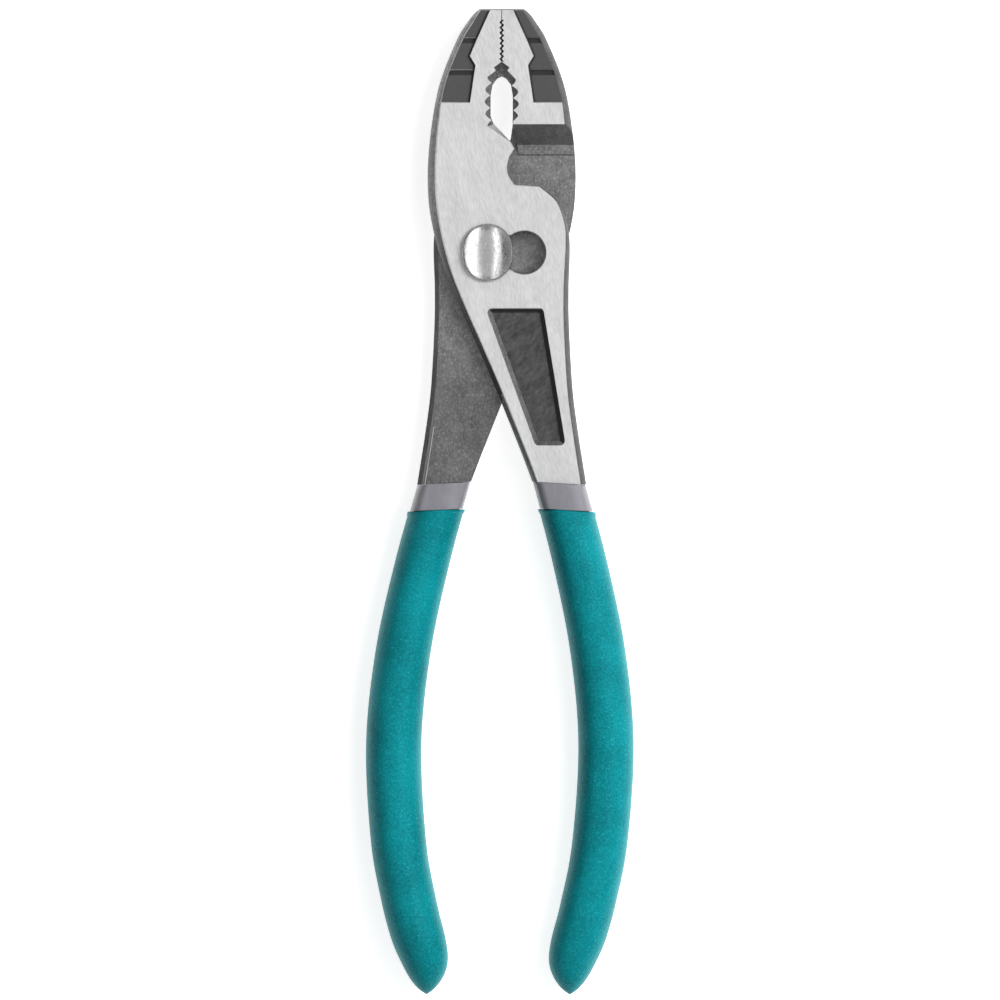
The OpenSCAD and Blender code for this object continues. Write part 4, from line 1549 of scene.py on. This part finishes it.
def white_floor(size):
    """A white floor that keeps the shadow and shows plain white to the camera."""
    material = bpy.data.materials.new("White floor")
    material.use_nodes = True
    nodes = Nodes(material.node_tree)
    surface = material.node_tree.nodes["Principled BSDF"].inputs
    surface["Base Color"].default_value = grey(FLOOR_TONE)
    surface["Roughness"].default_value = 0.9
    surface["Specular IOR Level"].default_value = 0.1
    light = nodes.add("ShaderNodeLightPath").outputs
    seen = nodes.maths("MAXIMUM", light["Is Camera Ray"], nodes.maths(
        "MAXIMUM", light["Is Glossy Ray"], light["Is Transmission Ray"]))
    nodes.join(nodes.blend(seen, grey(0.0), grey(FLOOR_GLOW)), surface["Emission Color"])
    surface["Emission Strength"].default_value = 1.0
    half = size / 2
    corners = np.array([(-half, -half), (half, -half), (half, half), (-half, half)])
    floor = loft("floor", [ring(corners, -FLOOR_THICKNESS), ring(corners, 0)])
    floor.data.materials.append(material)


def grey(value):
    """A grey with full alpha."""
    return (value, value, value, 1.0)


def softbox(name, place, aim, size, power, lit, mirrored):
    """A soft rectangular lamp turned towards an aim. It may only light, or only be mirrored."""
    lamp = bpy.data.lights.new(name, "AREA")
    lamp.shape = "RECTANGLE"
    lamp.size, lamp.size_y = size
    lamp.energy = power
    holder = bpy.data.objects.new(name, lamp)
    holder.location = place
    holder.rotation_euler = (aim - place).to_track_quat("-Z", "Y").to_euler()
    holder.visible_diffuse = lit
    holder.visible_glossy = mirrored
    bpy.context.scene.collection.objects.link(holder)


def studio_world():
    """The studio around the pliers: dark above, and paler to the right than to the left."""
    world = bpy.data.worlds.new("Studio")
    bpy.context.scene.world = world
    world.use_nodes = True
    nodes = Nodes(world.node_tree)
    parts = nodes.add("ShaderNodeSeparateXYZ")
    nodes.join(nodes.add("ShaderNodeTexCoord").outputs["Generated"], parts.inputs[0])
    across = nodes.spread(parts.outputs["X"], *ACROSS_RANGE)
    side = nodes.blend(across, grey(LEFT_GREY), grey(RIGHT_GREY))
    up = nodes.spread(parts.outputs["Z"], *UP_RANGE)
    tone = nodes.blend(up, side, grey(ABOVE_GREY))
    nodes.join(tone, world.node_tree.nodes["Background"].inputs["Color"])


def camera(settings):
    """A long lens straight above, square to the pliers."""
    data = bpy.data.cameras.new("camera")
    data.lens = data.sensor_width * settings.view_distance / settings.view_width
    data.clip_end = 4 * settings.view_distance
    holder = bpy.data.objects.new("camera", data)
    holder.location = Vector(settings.view_centre) + Vector((0, 0, settings.view_distance))
    bpy.context.scene.collection.objects.link(holder)
    bpy.context.scene.camera = holder


class PliersOperator(Operator):
    """What the makers of the pieces share."""

    bl_options = {"REGISTER", "UNDO"}


class MakeFrontLever(PliersOperator):
    """Makes the front forging: left jaw, slot, sunk panel and right handle."""

    bl_idname = "pliers.make_front_lever"
    bl_label = "Front lever"

    def execute(self, context):
        make_front_lever()
        return {"FINISHED"}


class MakeRearLever(PliersOperator):
    """Makes the rear forging: right jaw, bore, nut recess and left handle."""

    bl_idname = "pliers.make_rear_lever"
    bl_label = "Rear lever"

    def execute(self, context):
        make_rear_lever()
        return {"FINISHED"}


class MakeBolt(PliersOperator):
    """Makes the pivot bolt with its oval domed head."""

    bl_idname = "pliers.make_bolt"
    bl_label = "Bolt"

    def execute(self, context):
        make_bolt()
        return {"FINISHED"}


class MakeNut(PliersOperator):
    """Makes the nut on the back."""

    bl_idname = "pliers.make_nut"
    bl_label = "Nut"

    def execute(self, context):
        make_nut()
        return {"FINISHED"}


class MakeLiners(PliersOperator):
    """Makes the grey first coat of both handles."""

    bl_idname = "pliers.make_liners"
    bl_label = "Liners"

    def execute(self, context):
        make_liner("front_handle_liner_coat", -1, "front", "front_grip_liner")
        make_liner("rear_handle_liner_coat", 1, "rear", "rear_grip_liner")
        return {"FINISHED"}


class MakeGrips(PliersOperator):
    """Makes the coloured second coat of both handles."""

    bl_idname = "pliers.make_grips"
    bl_label = "Grips"

    def execute(self, context):
        make_grip("front_handle_grip_coat", -1, "front", "front_grip")
        make_grip("rear_handle_grip_coat", 1, "rear", "rear_grip")
        return {"FINISHED"}


class MakeStage(PliersOperator):
    """Makes the floor, the lights, the world and the camera."""

    bl_idname = "pliers.make_stage"
    bl_label = "Stage"

    def execute(self, context):
        settings = context.scene.pliers_stage
        centre = Vector(settings.view_centre)
        camera(settings)
        white_floor(settings.floor_size)
        studio_world()
        for name, place, size, power, lit, mirrored in LAMPS:
            softbox(name, centre + Vector(place), centre, size, power, lit, mirrored)
        context.scene.view_settings.view_transform = "Standard"
        return {"FINISHED"}


class PliersPanel(Panel):
    """Lists the makers and their settings."""

    bl_idname = "VIEW3D_PT_pliers"
    bl_label = "Pliers"
    bl_space_type = "VIEW_3D"
    bl_region_type = "UI"
    bl_category = "Pliers"

    def draw(self, context):
        for maker in MAKERS:
            self.layout.operator(maker.bl_idname, text=maker.bl_label)
        for title, holder in GROUPS:
            box = self.layout.box()
            box.label(text=holder.__doc__)
            settings = getattr(context.scene, title)
            for name in holder.__annotations__:
                box.prop(settings, name)


GROUPS = (
    ("pliers_levers", LeverSizes), ("pliers_joint", JointSizes), ("pliers_handles", HandleSizes),
    ("pliers_finishes", Finishes), ("pliers_stage", StageSettings),
)
MAKERS = (MakeStage, MakeFrontLever, MakeRearLever, MakeBolt, MakeNut, MakeLiners, MakeGrips)


def register():
    """Registers the settings, the makers and the panel."""
    for title, holder in GROUPS:
        bpy.utils.register_class(holder)
        setattr(bpy.types.Scene, title, PointerProperty(type=holder))
    for maker in MAKERS:
        bpy.utils.register_class(maker)
    bpy.utils.register_class(PliersPanel)


def unregister():
    """Takes back what register did."""
    bpy.utils.unregister_class(PliersPanel)
    for maker in reversed(MAKERS):
        bpy.utils.unregister_class(maker)
    for title, holder in reversed(GROUPS):
        delattr(bpy.types.Scene, title)
        bpy.utils.unregister_class(holder)


def main():
    """Makes the whole scene."""
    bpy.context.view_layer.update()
    register()
    for maker in MAKERS:
        group_name, operation = maker.bl_idname.split(".")
        getattr(getattr(bpy.ops, group_name), operation)()


if __name__ == "__main__":
    main()
